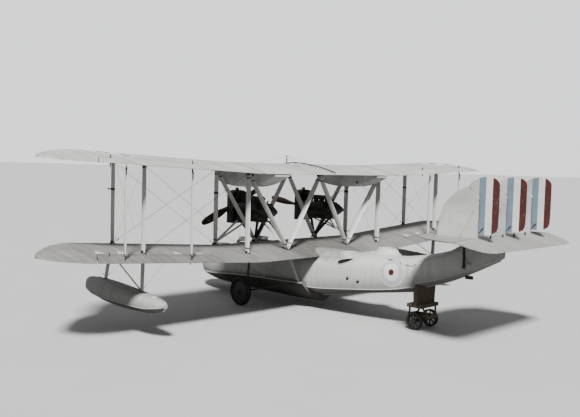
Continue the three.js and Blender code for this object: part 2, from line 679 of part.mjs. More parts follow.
function elevatorBrackets() {
  return joined([-1, 1].flatMap((s) => ELEVATOR_BRACKETS.map((at) => {
    const nose = ELEVATOR_NOSE * tailHalfThickness(at - 20);
    const [y, frontX] = [s * at, TAILPLANE_REAR_X + 30];
    return block(TAIL_HINGE_X + nose + GAP, frontX, y - 20, y + 20, TAIL_Z - 20, TAIL_Z + 20);
  })));
}

// Fin and rudder outlines seen from the side, as x, z. The horn of the rudder fills the fin's top corner.
const RUDDER_NOSE = 40;
const FIN_REAR_X = RUDDER_POST_X + RUDDER_NOSE + RUNNING_GAP;
const FIN_BRACKETS = [1350, 2150];
const FIN_SIDE = [
  [FIN_REAR_X, 1150], [TAIL_HINGE_X + 90, 1130], [TAIL_HINGE_X + 90, 1000], [-6440, 1000], [-6450, 1300],
  [-6510, 1600], [-6640, 2000], [-6860, 2300], [-7090, 2480], [-7340, 2610], [-7480, 2660], [-7500, 2560],
  [FIN_REAR_X, 2290],
];
const RUDDER_SIDE = [
  [RUDDER_POST_X, 1220], [-8100, 1235], [-8330, 1275], [-8450, 1370], [-8490, 1500], [-8500, 2700],
  [-8440, 2830], [-8280, 2920], [-8050, 2950], [-7800, 2900], [-7540, 2740], [-7520, 2590],
  [RUDDER_POST_X, 2300],
];
const FINS = { port: SIDE_FIN_Y, centre: 0, stbd: -SIDE_FIN_Y };
const FIN_HALF = 40;

// A thin plate that narrows from its post towards one edge.
function taperedPlate(y, nose, tail, half, edge) {
  const low = 900;
  const high = 3100;
  const outline = [[nose, -edge], [RUDDER_POST_X + 30, -half], [RUDDER_POST_X - 40, -half], [tail, -edge],
    [tail, edge], [RUDDER_POST_X - 40, half], [RUDDER_POST_X + 30, half], [nose, edge]];
  return prism(outline.map(([x, w]) => [x, y + w]), 'xy', low, high);
}

function rudder(y) {
  const blank = prism(RUDDER_SIDE, 'xz', y - 100, y + 100);
  const plate = blank.intersect(taperedPlate(y, -7400, -8520, FIN_HALF, 8));
  const [heel, head] = [1220, 2335];
  const post = turned([[0, heel], [RUDDER_NOSE, heel], [RUDDER_NOSE, head], [0, head]], 'z',
    [RUDDER_POST_X, y, 0], 16);
  return plate.add(post);
}

function fin(y) {
  const blank = prism(FIN_SIDE, 'xz', y - 100, y + 100);
  const plate = blank.intersect(taperedPlate(y, -6400, -8600, FIN_HALF, 12));
  const noseX = RUDDER_POST_X + RUDDER_NOSE + GAP;
  const brackets = FIN_BRACKETS.map((z) => block(noseX, FIN_REAR_X + 30, y - 15, y + 15, z - 25, z + 25));
  return joined([plate, ...brackets]).subtract(tailplane(GAP));
}

function buildFins() {
  for (const [name, y] of Object.entries(FINS)) {
    addPiece(`fin_${name}`, fin(y), 'fabric');
    addPiece(`rudder_${name}`, rudder(y), 'red');
  }
}

function buildTail() {
  addPiece('tailplane', tailplane().add(elevatorBrackets()), 'fabric');
  addPiece('elevator', elevator(), 'fabric');
  buildFins();
  const clear = tailplane(GAP).add(hullBody(GAP));
  for (const side of ['port', 'stbd']) {
    const s = sideOf[side];
    const leg = strut(point(-6610, s * 300, -100), point(-7300, s * 1500, TAIL_Z), 90, 42);
    addPiece(`tail_struts_${side}`, leg.subtract(clear), 'strut');
  }
}

function beachingFrame(side) {
  const s = sideOf[side];
  const legY = s * 1900;
  const knuckle = point(WHEEL.x, legY, WHEEL.z);
  const axleEnd = s * (WHEEL.y + WHEEL.width / 2 + 40);
  const [boss, { x, z }] = [70, WHEEL];
  const pieces = [
    rod(point(FRONT_SPAR_X + 40, legY, 60), knuckle, 42),
    rod(point(x, s * 1190, z + 330), knuckle, 38),
    rod(point(REAR_SPAR_X - 180, s * 1150, -1290), knuckle, 34),
    rod(point(x, legY - s * 40, z), point(x, axleEnd, z), 45, 12),
    block(x - boss, x + boss, legY - 60, legY + 60, z - boss, z + boss),
  ];
  return joined(pieces).subtract(grownWings).subtract(planingBottom(GAP)).subtract(hullBody(GAP));
}

function beachingWheel() {
  const { radius, width } = WHEEL;
  const half = width / 2;
  const bore = 45.6;
  // radius, distance along the axle: hub, dished disc, rim, round tyre
  const right = [[bore, 115], [85, 115], [85, 60], [radius - 150, 30], [radius - 130, half - 25],
    [radius - 60, half], [radius, 30]];
  const profile = [...right.map(([r, h]) => [r, -h]), ...right.reverse()];
  return turned([...profile, profile[0]], 'y', [0, 0, 0], 32);
}

function buildBeachingGear() {
  for (const side of ['port', 'stbd']) {
    addPiece(`beaching_frame_${side}`, beachingFrame(side), 'iron');
    const centre = [WHEEL.x, sideOf[side] * WHEEL.y, WHEEL.z];
    addPiece(`beaching_wheel_${side}`, beachingWheel().translate(centre), 'tyre');
  }
  buildTrolley();
}

function buildTrolley() {
  const { x, wheelY, radius, width } = TROLLEY;
  const axleZ = FLOOR_Z + radius;
  const beamTop = -1500;
  const frame = [
    block(x - 420, x + 420, -260, -190, axleZ + 90, axleZ + 200),
    block(x - 420, x + 420, 190, 260, axleZ + 90, axleZ + 200),
    block(x - 60, x + 60, -260, 260, axleZ + 60, axleZ + 160),
    block(x - 420, x - 330, -260, 260, axleZ + 90, axleZ + 200),
    block(x + 330, x + 420, -260, 260, axleZ + 90, axleZ + 200),
    block(x - 300, x + 300, -520, 520, beamTop - 60, beamTop + 60),
    prism([[-520, beamTop], [520, beamTop], [560, -640], [-560, -640]], 'yz', x - 130, x + 30),
  ];
  for (const s of [-1, 1]) {
    for (const end of [-1, 1]) {
      frame.push(rod(point(x + end * 380, s * 225, axleZ + 140), point(x + end * 240, s * 400, beamTop), 34));
    }
    frame.push(block(x - 50, x + 50, s * 225 - 35, s * 225 + 35, axleZ - 70, axleZ + 150));
  }
  const bore = rod(point(x, -300, axleZ), point(x, 300, axleZ), 37.9, 20);
  addPiece('tail_trolley', joined(frame).subtract(bore).subtract(hullBody(GAP)), 'iron');

  const axle = rod(point(x, -wheelY - 70, axleZ), point(x, wheelY + 70, axleZ), 37, 20);
  const [inRim, half] = [radius - 60, width / 2];
  const profile = [[0, -60], [70, -60], [90, -20], [inRim, -20], [inRim, -half], [radius, -half],
    [radius, half], [inRim, half], [inRim, 20], [90, 20], [70, 60], [0, 60]];
  const wheels = [-1, 1].map((s) => turned(profile, 'y', [x, s * wheelY, axleZ], 24));
  addPiece('trolley_wheels', joined([axle, ...wheels]), 'iron');
}

function buildMast() {
  const base = point(FRONT_SPAR_X + 70, 0, 3150);
  const pieces = [
    rod(base, point(base.x, 0, 3550), 22),
    block(base.x - 90, base.x + 90, -60, 60, 3080, 3330),
  ];
  addPiece('mast', joined(pieces).subtract(grownWings), 'strut');
}

buildHull();
buildWings();
buildOuterStruts();
buildTrusses();
buildHullStruts();
buildEngines();
buildTanks();
buildFloats();
buildTail();
buildBeachingGear();
buildMast();

const box = new THREE.Box3().setFromObject(boat);
boat.position.set(-(box.min.x + box.max.x) / 2, -(box.min.y + box.max.y) / 2, -box.min.z);

export default boat;
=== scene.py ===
"""Dresses a twin-engined biplane flying boat that stands on its beaching wheels and tail trolley."""
import bisect
from math import ceil, copysign, cos, pi, radians, sin, sqrt, tan, tau

import bmesh
import bpy
from mathutils import Matrix, Vector


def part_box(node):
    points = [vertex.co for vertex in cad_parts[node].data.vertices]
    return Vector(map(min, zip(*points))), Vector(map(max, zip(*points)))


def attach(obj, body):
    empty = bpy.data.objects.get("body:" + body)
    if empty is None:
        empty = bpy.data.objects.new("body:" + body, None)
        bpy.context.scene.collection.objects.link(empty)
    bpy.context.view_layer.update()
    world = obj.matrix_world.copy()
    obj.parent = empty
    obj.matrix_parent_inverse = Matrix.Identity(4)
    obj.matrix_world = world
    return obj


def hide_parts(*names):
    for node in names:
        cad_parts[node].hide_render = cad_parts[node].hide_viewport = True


bl_info = {
    "name": "Biplane flying boat",
    "version": (1, 0, 0),
    "blender": (4, 5, 0),
    "location": "3D View > Sidebar > Flying boat",
    "description": "Models and paints a wooden-winged flying boat around its fixed frame",
    "category": "Object",
}

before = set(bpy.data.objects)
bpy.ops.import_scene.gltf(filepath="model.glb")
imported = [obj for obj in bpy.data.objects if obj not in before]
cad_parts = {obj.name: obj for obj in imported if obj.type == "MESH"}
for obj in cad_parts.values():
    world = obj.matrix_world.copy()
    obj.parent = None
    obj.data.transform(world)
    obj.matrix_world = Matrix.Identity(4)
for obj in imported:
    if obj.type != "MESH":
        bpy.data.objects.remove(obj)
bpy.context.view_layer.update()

# The boat's own axes: x forward, y to port, z up, zero on top of the lower wing's rear spar.
AXLE_X, WHEEL_Y, AXLE_Z = 1.95, 2.21, -1.78
WHEEL_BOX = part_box("beaching_wheel_port")
DATUM = (WHEEL_BOX[0] + WHEEL_BOX[1]) / 2 - Vector((AXLE_X, WHEEL_Y, AXLE_Z))

SIDES = {"port": 1.0, "stbd": -1.0}
MERGE = 0.0002

# Wings
CHORD = 2.91
LE_X, TE_X = 2.05, -0.86
RISE = tan(radians(5.0))
DIHEDRAL = {"lower": tan(radians(4.0)), "upper": tan(radians(2.4))}
CENTRE_END = 3.78
TIP_Y = 11.43
LEVELS = {"lower": -0.204, "upper": 2.83}
FRONT_SPAR, REAR_SPAR = 1.75, 0.0
INNER_Y, OUTER_Y = 3.70, 8.05
VERTEX_Y = 1.70
HINGE_X, AILERON_IN, AILERON_OUT, RAKE = -0.22, 5.37, 9.76, 0.40
RUNNING = 0.014
LINKS = {"inner": 6.64, "outer": 9.09}
LINK_X = -0.60
# back from the leading edge, top, underside, as shares of the chord
AEROFOIL = [
    (0.0, -0.001, -0.001), (0.017, 0.0300, -0.0184), (0.069, 0.0564, -0.0230), (0.173, 0.0771, -0.0184),
    (0.391, 0.0887, -0.0081), (0.704, 0.0702, -0.0023), (0.86, 0.048, 0.006), (1.0, 0.024, 0.017),
]
# y, leading edge, trailing edge, thickness of the outer panels
PANEL = [
    (3.78, 2.05, -0.86, 1.0), (9.6, 2.05, -0.86, 1.0), (10.25, 1.75, -0.80, 0.86),
    (10.8, 1.25, -0.60, 0.6), (11.2, 0.75, -0.30, 0.38), (TIP_Y, 0.33, 0.05, 0.2),
]

# Engines
ENGINE_Y, CRANK_Z, THRUST_Z = 1.90, 1.30, 1.45
BLADE_TILT = {"port": -24.0, "stbd": 11.0}

# The rear step, and the hull's stations ahead of it and behind: x, keel, chine, deck, half width
STEP_X = -4.95
HULL = [
    (STEP_X, -1.03, -0.84, 0.20, 0.69), (-4.05, -1.18, -1.03, 0.07, 0.80), (-2.4, -1.44, -1.24, 0.01, 0.93),
    (-0.3, -1.80, -1.42, -0.01, 0.99), (1.0, -1.88, -1.38, -0.04, 1.0), (3.0, -1.90, -1.33, -0.13, 0.98),
    (4.5, -1.90, -1.42, -0.33, 0.90), (5.6, -1.86, -1.50, -0.50, 0.74), (6.3, -1.76, -1.50, -0.66, 0.51),
    (6.64, -1.65, -1.47, -0.85, 0.30), (6.75, -1.53, -1.42, -1.09, 0.12),
]
TAIL_HULL = [
    (-7.78, 0.34, 0.40, 1.012, 0.20), (-6.9, -0.12, -0.02, 0.95, 0.37), (-5.95, -0.56, -0.43, 0.46, 0.52),
    (-4.955, -0.90, -0.73, 0.202, 0.688),
]
# x, keel, chine, half width of the planing bottom
BOTTOM = [
    (-0.33, -2.10, -1.29, 1.20), (1.5, -2.10, -1.33, 1.23), (3.6, -2.08, -1.42, 1.16),
    (5.0, -2.03, -1.56, 0.96), (6.1, -1.93, -1.62, 0.62), (6.55, -1.76, -1.56, 0.33),
    (6.72, -1.58, -1.44, 0.09),
]
# x, keel, chine, deck, half width of a wing float
FLOAT = [
    (-1.20, -1.29, -1.22, -1.13, 0.08), (-1.0, -1.39, -1.26, -1.06, 0.20), (-0.3, -1.53, -1.33, -0.955, 0.33),
    (0.9, -1.56, -1.32, -0.84, 0.37), (2.2, -1.48, -1.29, -0.765, 0.34), (2.95, -1.29, -1.15, -0.785, 0.24),
    (3.2, -1.12, -1.03, -0.90, 0.09),
]
# x of the head and of the foot of a float's legs
FLOAT_LEGS = ((1.86, 2.12), (0.0, 0.04))
# x, y, radius along, radius across, floor, rim of each cockpit well
COCKPITS = {
    "bow": (5.75, 0.0, 0.40, 0.37, -1.40, -0.47),
    "pilot_front": (4.10, 0.0, 0.43, 0.35, -1.15, -0.19),
    "pilot_rear": (2.95, 0.0, 0.43, 0.35, -1.05, -0.06),
    "rear_port": (-1.96, 0.40, 0.35, 0.29, -0.85, -0.2),
    "rear_stbd": (-3.05, -0.38, 0.35, 0.29, -0.80, 0.20),
}

# Tail
TAIL_Z, TAIL_HINGE, POST_X, SIDE_FIN = 1.05, -7.87, -7.90, 1.68
DROOP = radians(14.0)
# y, leading edge, elevator edge, half thickness
TAILPLANE = [
    (0.0, -5.70, -8.87, 0.066), (1.9, -5.88, -8.87, 0.062), (2.35, -6.30, -8.86, 0.054),
    (2.75, -6.95, -8.72, 0.042), (2.96, -7.60, -8.30, 0.026),
]


# Shapes

def at(x, y, z):
    return Vector((x, y, z))


def curve(rows, place, column):
    """Smooth reading of a table's column, without overshoot. Rows rise in their first column."""
    keys = [row[0] for row in rows]
    place = min(max(place, keys[0]), keys[-1])
    i = min(max(bisect.bisect_right(keys, place) - 1, 0), len(rows) - 2)

    def slope(k):
        if k <= 0 or k >= len(rows) - 1:
            k = min(max(k, 0), len(rows) - 1)
            a, b = (0, 1) if k == 0 else (k - 1, k)
            return (rows[b][column] - rows[a][column]) / (keys[b] - keys[a])
        before = (rows[k][column] - rows[k - 1][column]) / (keys[k] - keys[k - 1])
        after = (rows[k + 1][column] - rows[k][column]) / (keys[k + 1] - keys[k])
        return 2 * before * after / (before + after) if before * after > 0 else 0.0

    step = keys[i + 1] - keys[i]
    t = (place - keys[i]) / step
    a, b = rows[i][column], rows[i + 1][column]
    return (a * (1 + 2 * t) * (1 - t) ** 2 + b * t * t * (3 - 2 * t)
            + step * (slope(i) * t * (1 - t) ** 2 - slope(i + 1) * t * t * (1 - t)))


def row_at(rows, place):
    """Every column of a table but the first, read at a place."""
    return [curve(rows, place, column) for column in range(1, len(rows[0]))]


AXES = {"x": (1, 0, 0), "y": (0, 1, 0), "z": (0, 0, 1)}
QUARTER = pi / 2


def on_edge(x, y, z):
    """Stands a flat shape's outline in x and z, at a place."""
    return Matrix.Translation((x, y, z)) @ Matrix.Rotation(QUARTER, 4, "X")


def athwart(x, y, z):
    """Stands a flat shape's outline in y and z, at a place."""
    return Matrix.Translation((x, y, z)) @ Matrix.Rotation(QUARTER, 4, "Z") @ Matrix.Rotation(QUARTER, 4, "X")


def spread(low, high, step):
    count = max(1, ceil(abs(high - low) / step - 1e-6))
    return [low + (high - low) * i / count for i in range(count + 1)]


def smooth_path(points, steps=6):
    """Points on a smooth curve through the given ones."""
    points = [Vector(p) for p in points]
    ghost = [2 * points[0] - points[1], *points, 2 * points[-1] - points[-2]]
    path = []
    for a, b, c, d in zip(ghost, ghost[1:], ghost[2:], ghost[3:]):
        for i in range(steps):
            t = i / steps
            path.append(0.5 * (2 * b + (c - a) * t + (2 * a - 5 * b + 4 * c - d) * t ** 2
                               + (3 * b - a - 3 * c + d) * t ** 3))
    return path + [points[-1]]


def loft(bm, rings, caps=True, closed=False):
    """Skin through rings of equal point count: a ring's edges are extruded to make the next ring."""
    verts = [bm.verts.new(p) for p in rings[0]]
    edges = [bm.edges.new((verts[i - 1], verts[i])) for i in range(len(verts))]
    first_edges = list(edges)
    if caps and not closed:
        bmesh.ops.poke(bm, faces=[bm.faces.new(verts)])
    for ring in rings[1:]:
        geom = bmesh.ops.extrude_edge_only(bm, edges=edges)["geom"]
        fresh = {g for g in geom if isinstance(g, bmesh.types.BMVert)}
        edges = [g for g in geom if isinstance(g, bmesh.types.BMEdge) and set(g.verts) <= fresh]
        verts = [next(e.other_vert(v) for e in v.link_edges if e.other_vert(v) in fresh) for v in verts]
        for vert, point in zip(verts, ring):
            vert.co = point
    if closed:
        bmesh.ops.bridge_loops(bm, edges=edges + first_edges)
    elif caps:
        bmesh.ops.poke(bm, faces=[bm.faces.new(verts)])


def tube(bm, path, radius, sides=8, closed=False, flat=1.0):
    """Round bar along a path, of one radius or one for each point. Flat below 1 presses it along z."""
    path = [Vector(p) for p in path]
    radii = radius if isinstance(radius, (list, tuple)) else [radius] * len(path)
    count = len(path)
    rings, normal = [], None
    for i, point in enumerate(path):
        before = path[i - 1] if i or closed else point
        after = path[(i + 1) % count] if i + 1 < count or closed else point
        way = (after - before).normalized()
        if normal is None:
            normal = way.cross(at(0, 0, 1) if abs(way.z) < 0.9 else at(1, 0, 0))
        normal = (normal - way * normal.dot(way)).normalized()
        other = way.cross(normal)
        turns = [2 * pi * k / sides for k in range(sides)]
        rings.append([point + radii[i] * (normal * cos(a) + other * sin(a) * flat) for a in turns])
    loft(bm, rings, closed=closed)


def turned(bm, profile, centre, axis="z", steps=28, matrix=None):
    """Turned solid. Profile rows are radius and place along the axis, which is x, y, z or a direction."""
    way = Vector(AXES[axis] if isinstance(axis, str) else axis).normalized()
    centre = Vector(centre)
    if matrix:
        centre, way = matrix @ centre, matrix.to_3x3() @ way
    out = way.orthogonal().normalized()
    verts = [bm.verts.new(centre + way * h + out * max(r, 1e-5)) for r, h in profile]
    edges = [bm.edges.new(pair) for pair in zip(verts, verts[1:])]
    bmesh.ops.spin(bm, geom=verts + edges, cent=centre, axis=way, angle=2 * pi, steps=steps, use_merge=True)


def block(bm, low, high, bevel=0.0, matrix=Matrix.Identity(4)):
    """Box between two corners, placed by the matrix, its edges rounded."""
    low, high = Vector(low), Vector(high)
    verts = bmesh.ops.create_cube(bm, size=1.0)["verts"]
    bmesh.ops.scale(bm, vec=high - low, verts=verts)
    bmesh.ops.translate(bm, vec=(low + high) / 2, verts=verts)
    bmesh.ops.transform(bm, matrix=matrix, verts=verts)
    round_edges(bm, verts, bevel, 2)


def round_edges(bm, verts, bevel, segments=1):
    if bevel:
        edges = list({e for v in verts for e in v.link_edges})
        bmesh.ops.bevel(bm, geom=edges, offset=bevel, segments=segments, affect="EDGES", profile=0.5,
                        material=-1)


def plate(bm, outline, thick, matrix=Matrix.Identity(4), bevel=0.0):
    """Flat plate: an outline in x and y, extruded along z and placed by the matrix."""
    face = bm.faces.new([bm.verts.new((x, y, -thick / 2)) for x, y in outline])
    verts = list(face.verts)
    top = bmesh.ops.extrude_face_region(bm, geom=[face])["geom"]
    fresh = [g for g in top if isinstance(g, bmesh.types.BMVert)]
    bmesh.ops.translate(bm, vec=(0, 0, thick), verts=fresh)
    bmesh.ops.transform(bm, matrix=matrix, verts=verts + fresh)
    round_edges(bm, verts + fresh, bevel)


def oval(x_radius, y_radius, count=24):
    return [(x_radius * cos(2 * pi * i / count), y_radius * sin(2 * pi * i / count)) for i in range(count)]


def streamlined(chord, thickness, count=16):
    """Section of a faired strut: round nose ahead, fine tail behind."""
    points = []
    for i in range(count):
        a = 2 * pi * i / count
        u = cos(a)
        taper = 1.0 - 0.32 * max(0.0, -u) ** 1.5
        points.append((0.5 * chord * u, 0.5 * thickness * sin(a) * taper))
    return points


def strut(bm, start, end, chord, thickness, ends=0.82, along=(1, 0, 0)):
    """Faired strut between two points, a little finer at its ends."""
    start, end = Vector(start), Vector(end)
    axis = (end - start).normalized()
    thin = axis.cross(Vector(along)).normalized()
    wide = thin.cross(axis)
    rings = []
    for share, size in ((0, ends), (0.06, ends + 0.1), (0.16, 1), (0.5, 1.0), (0.84, 1), (0.94, ends + 0.1),
                        (1, ends)):
        centre = start.lerp(end, share)
        rings.append([centre + (wide * u + thin * v) * size for u, v in streamlined(chord, thickness)])
    loft(bm, rings)


def band(bm, start, end, share, chord, thickness, width=0.05, along=(1, 0, 0)):
    """Clamp round a faired strut, with a bolted lug."""
    start, end = Vector(start), Vector(end)
    axis = (end - start).normalized()
    thin = axis.cross(Vector(along)).normalized()
    wide = thin.cross(axis)
    centre = start.lerp(end, share)
    section = streamlined(chord + 0.012, thickness + 0.012)
    loft(bm, [[centre + axis * h + wide * u + thin * v for u, v in section] for h in (-width / 2, width / 2)])
    tube(bm, [centre - thin * thickness * 0.75, centre + thin * thickness * 0.75], 0.011, 6)


def bolt(bm, centre, normal, size=0.012):
    turned(bm, [(0, 0.9 * size), (0.8 * size, 0.9 * size), (size, 0.6 * size), (size, 0)], centre, normal, 6)


def bolt_circle(bm, centre, normal, radius, count, size, first=0.0):
    """Ring of bolts round an axis that lies along x or y."""
    for k in range(count):
        u, v = radius * cos(first + tau * k / count), radius * sin(first + tau * k / count)
        bolt(bm, centre + (at(0, u, v) if normal[0] else at(u, 0, v)), normal, size)


def piece(bm, name, look, body="airframe", replaces=(), sharp=32.0):
    """Closes a bmesh into a finished object: merged, faced outwards, smooth except over sharp edges."""
    bmesh.ops.remove_doubles(bm, verts=bm.verts, dist=MERGE)
    bmesh.ops.dissolve_degenerate(bm, dist=MERGE / 4, edges=bm.edges)
    bmesh.ops.recalc_face_normals(bm, faces=bm.faces)
    for face in bm.faces:
        face.smooth = True
    for edge in bm.edges:
        edge.smooth = len(edge.link_faces) == 2 and edge.calc_face_angle(0.0) < radians(sharp)
    bmesh.ops.translate(bm, vec=DATUM, verts=bm.verts)
    mesh = bpy.data.meshes.new(name)
    bm.to_mesh(mesh)
    bm.free()
    obj = bpy.data.objects.new(name, mesh)
    bpy.context.scene.collection.objects.link(obj)
    mesh.materials.append(finish(look))
    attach(obj, body)
    if replaces:
        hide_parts(*replaces)
    return obj


def carve(bm, cutters):
    """The shape with the cutters taken out of it, as a new bmesh."""
    def as_object(name, shape):
        bmesh.ops.recalc_face_normals(shape, faces=shape.faces)
        mesh = bpy.data.meshes.new(name)
        shape.to_mesh(mesh)
        shape.free()
        obj = bpy.data.objects.new(name, mesh)
        bpy.context.scene.collection.objects.link(obj)
        return obj

    bmesh.ops.remove_doubles(bm, verts=bm.verts, dist=MERGE)
    body = as_object("uncut", bm)
    tools = [as_object("cutter", cutter) for cutter in cutters]
    for tool in tools:
        modifier = body.modifiers.new("cut", "BOOLEAN")
        modifier.operation, modifier.object, modifier.solver = "DIFFERENCE", tool, "EXACT"
    bpy.context.view_layer.update()
    evaluated = body.evaluated_get(bpy.context.evaluated_depsgraph_get())
    result = bmesh.new()
    result.from_mesh(evaluated.to_mesh())
    for obj in (body, *tools):
        bpy.data.objects.remove(obj)
    return result


# Finishes

class Shading:
    """Adds nodes to one tree. An input is given a number, a colour or another node's socket."""

    def __init__(self, tree):
        self.tree = tree

    def node(self, kind, inputs=None, **settings):
        node = self.tree.nodes.new(kind)
        for key, value in settings.items():
            setattr(node, key, value)
        for key, value in (inputs or {}).items():
            if isinstance(value, bpy.types.NodeSocket):
                self.tree.links.new(value, node.inputs[key])
            else:
                node.inputs[key].default_value = value
        return node

    def math(self, operation, a, b=0.0):
        return self.node("ShaderNodeMath", {0: a, 1: b}, operation=operation).outputs[0]

    def times(self, a, b):
        return self.math("MULTIPLY", a, b)

    def plus(self, a, b):
        return self.math("ADD", a, b)

    def minus(self, a, b):
        return self.math("SUBTRACT", a, b)

    def absolute(self, a):
        return self.math("ABSOLUTE", a)

    def fold(self, value, reach):
        """The value folded to and fro between zero and a reach."""
        return self.math("PINGPONG", value, reach)

    def remap(self, value, low, high, to_low=0.0, to_high=1.0):
        return self.node("ShaderNodeMapRange", {0: value, 1: low, 2: high, 3: to_low, 4: to_high}).outputs[0]

    def mix(self, share, a, b, blend="MIX"):
        node = self.node("ShaderNodeMix", {0: share, 6: a, 7: b}, data_type="RGBA", blend_type=blend)
        return node.outputs[2]

    def shaded(self, colour, tone):
        """The colour made lighter or darker by a tone round 1."""
        return self.mix(1.0, colour, self.join(tone, tone, tone), "MULTIPLY")

    def upward(self):
        return self.split(self.node("ShaderNodeNewGeometry").outputs["Normal"])[2]

    def stretch(self, vector, scale, location=(0, 0, 0)):
        return self.node("ShaderNodeMapping", {"Vector": vector, "Scale": scale,
                                               "Location": location}).outputs[0]

    def noise(self, vector, scale, detail=4.0, roughness=0.55):
        inputs = {"Vector": vector, "Scale": scale, "Detail": detail, "Roughness": roughness}
        return self.node("ShaderNodeTexNoise", inputs).outputs["Fac"]

    def split(self, vector):
        return self.node("ShaderNodeSeparateXYZ", {0: vector}).outputs

    def join(self, x=0.0, y=0.0, z=0.0):
        return self.node("ShaderNodeCombineXYZ", {0: x, 1: y, 2: z}).outputs[0]

    def place(self, group, **inputs):
        """Puts a node group in the tree; underscores in an input's name stand for spaces."""
        node = self.node("ShaderNodeGroup", node_tree=group)
        for key, value in inputs.items():
            socket = node.inputs[key.replace("_", " ")]
            if isinstance(value, bpy.types.NodeSocket):
                self.tree.links.new(value, socket)
            else:
                socket.default_value = value
        return node.outputs


def shared_effect(name, inputs, outputs, build):
    """A node group, built the first time. Inputs are name: default, outputs name: socket kind."""
    tree = bpy.data.node_groups.get(name)
    if tree is None:
        tree = bpy.data.node_groups.new(name, "ShaderNodeTree")
        for label, default in inputs.items():
            kind = {float: "Float", tuple: "Vector"}[type(default)]
            socket = tree.interface.new_socket(label, in_out="INPUT", socket_type=f"NodeSocket{kind}")
            socket.default_value = default
        for label, kind in outputs.items():
            tree.interface.new_socket(label, in_out="OUTPUT", socket_type=f"NodeSocket{kind}")
        shading = Shading(tree)
        made = build(shading, tree.nodes.new("NodeGroupInput").outputs)
        result = tree.nodes.new("NodeGroupOutput")
        for label, socket in made.items():
            tree.links.new(socket, result.inputs[label])
    return tree


def weather():
    """Grime that runs down, a broad unevenness of tone, and a fine grain."""
    def build(s, given):
        place, scale = given["Vector"], given["Scale"]
        broad = s.noise(place, scale, 5.0, 0.62)
        runs = s.noise(s.stretch(place, (6.0, 6.0, 0.55)), scale, 4.0, 0.6)
        grime = s.times(s.remap(broad, 0.42, 0.70), s.remap(runs, 0.42, 0.68))
        return {"Grime": grime, "Tone": broad, "Grain": s.noise(place, s.times(scale, 55.0), 3.0, 0.7)}
    return shared_effect("weather", {"Vector": (0.0, 0.0, 0.0), "Scale": 1.0},
                         {"Grime": "Float", "Tone": "Float", "Grain": "Float"}, build)


def rib_tape():
    """Stitched cloth tapes over the ribs, which lie along the vector's y at each spacing in x."""
    def build(s, given):
        x, y, _ = s.split(given["Vector"])
        off = s.fold(x, s.times(given["Spacing"], 0.5))
        half = s.times(given["Tape"], 0.5)
        tape = s.remap(s.minus(off, half), -0.0008, 0.0012, 1.0, 0.0)
        row = s.fold(y, 0.0375)
        lacing = s.times(s.remap(row, 0.003, 0.006, 1.0, 0.0),
                         s.remap(s.absolute(s.minus(off, 0.006)), 0.004, 0.006, 1.0, 0.0))
        edge = s.remap(s.absolute(s.minus(off, s.times(half, 0.84))), 0.0007, 0.0016, 1.0, 0.0)
        stitch = s.times(edge, s.remap(s.fold(y, 0.004), 0.0012, 0.0020, 1.0, 0.0))
        height = s.plus(tape, s.times(s.plus(lacing, stitch), 0.8))
        return {"Tape": tape, "Stitch": s.math("MAXIMUM", lacing, stitch), "Height": height}
    return shared_effect("rib tape", {"Vector": (0.0, 0.0, 0.0), "Spacing": 0.378, "Tape": 0.04},
                         {"Tape": "Float", "Stitch": "Float", "Height": "Float"}, build)


def sheet_seams():
    """Seams of sheets in the vector's x and y, with a row of fastenings along both sides of each."""
    def build(s, given):
        x, y, _ = s.split(given["Vector"])
        along = s.fold(x, s.times(given["Length"], 0.5))
        across = s.fold(y, s.times(given["Width"], 0.5))
        seams, nails = [], []
        for off, run in ((along, y), (across, x)):
            seams.append(s.remap(off, 0.0012, 0.0032, 1.0, 0.0))
            beside = s.absolute(s.minus(off, 0.018))
            spot = s.math("POWER", s.plus(s.math("POWER", beside, 2.0),
                                          s.math("POWER", s.fold(run, 0.03), 2.0)), 0.5)
            nails.append(s.remap(spot, 0.0032, 0.0048, 1.0, 0.0))
        seam, nail = s.math("MAXIMUM", *seams), s.math("MAXIMUM", *nails)
        return {"Seam": seam, "Nail": nail, "Height": s.minus(s.times(nail, 0.5), seam)}
    return shared_effect("sheet seams", {"Vector": (0.0, 0.0, 0.0), "Length": 1.2, "Width": 0.42},
                         {"Seam": "Float", "Nail": "Float", "Height": "Float"}, build)


def roundel():
    """Three painted rings round the origin of x and y, with a thin pale outline."""
    def build(s, given):
        radius = s.node("ShaderNodeVectorMath", {0: given["Vector"]}, operation="LENGTH").outputs["Value"]
        share = s.math("DIVIDE", radius, given["Radius"])
        blue, white, red = (coat(name) for name in ("blue", "white", "red"))
        rings = s.mix(s.remap(share, 0.935, 0.945), s.mix(given["Fade"], blue, white), white)
        rings = s.mix(s.remap(share, 0.575, 0.585), white, rings)
        rings = s.mix(s.remap(share, 0.205, 0.215), red, rings)
        return {"Paint": rings, "Mask": s.remap(share, 0.995, 1.005, 1.0, 0.0)}
    return shared_effect("roundel", {"Vector": (0.0, 0.0, 0.0), "Radius": 0.5, "Fade": 0.0},
                         {"Paint": "Color", "Mask": "Float"}, build)


def wood_grain():
    """Long grain along the vector's x."""
    def build(s, given):
        fibre = s.noise(s.stretch(given["Vector"], (1.2, 26.0, 26.0)), given["Scale"], 5.0, 0.65)
        ring = s.node("ShaderNodeTexWave", {"Vector": s.stretch(given["Vector"], (0.5, 6.0, 6.0)),
                                            "Distortion": 5.0, "Scale": given["Scale"],
                                            "Detail": 3.0}).outputs["Fac"]
        return {"Grain": s.plus(s.times(fibre, 0.6), s.times(ring, 0.4))}
    return shared_effect("wood grain", {"Vector": (0.0, 0.0, 0.0), "Scale": 1.0}, {"Grain": "Float"}, build)


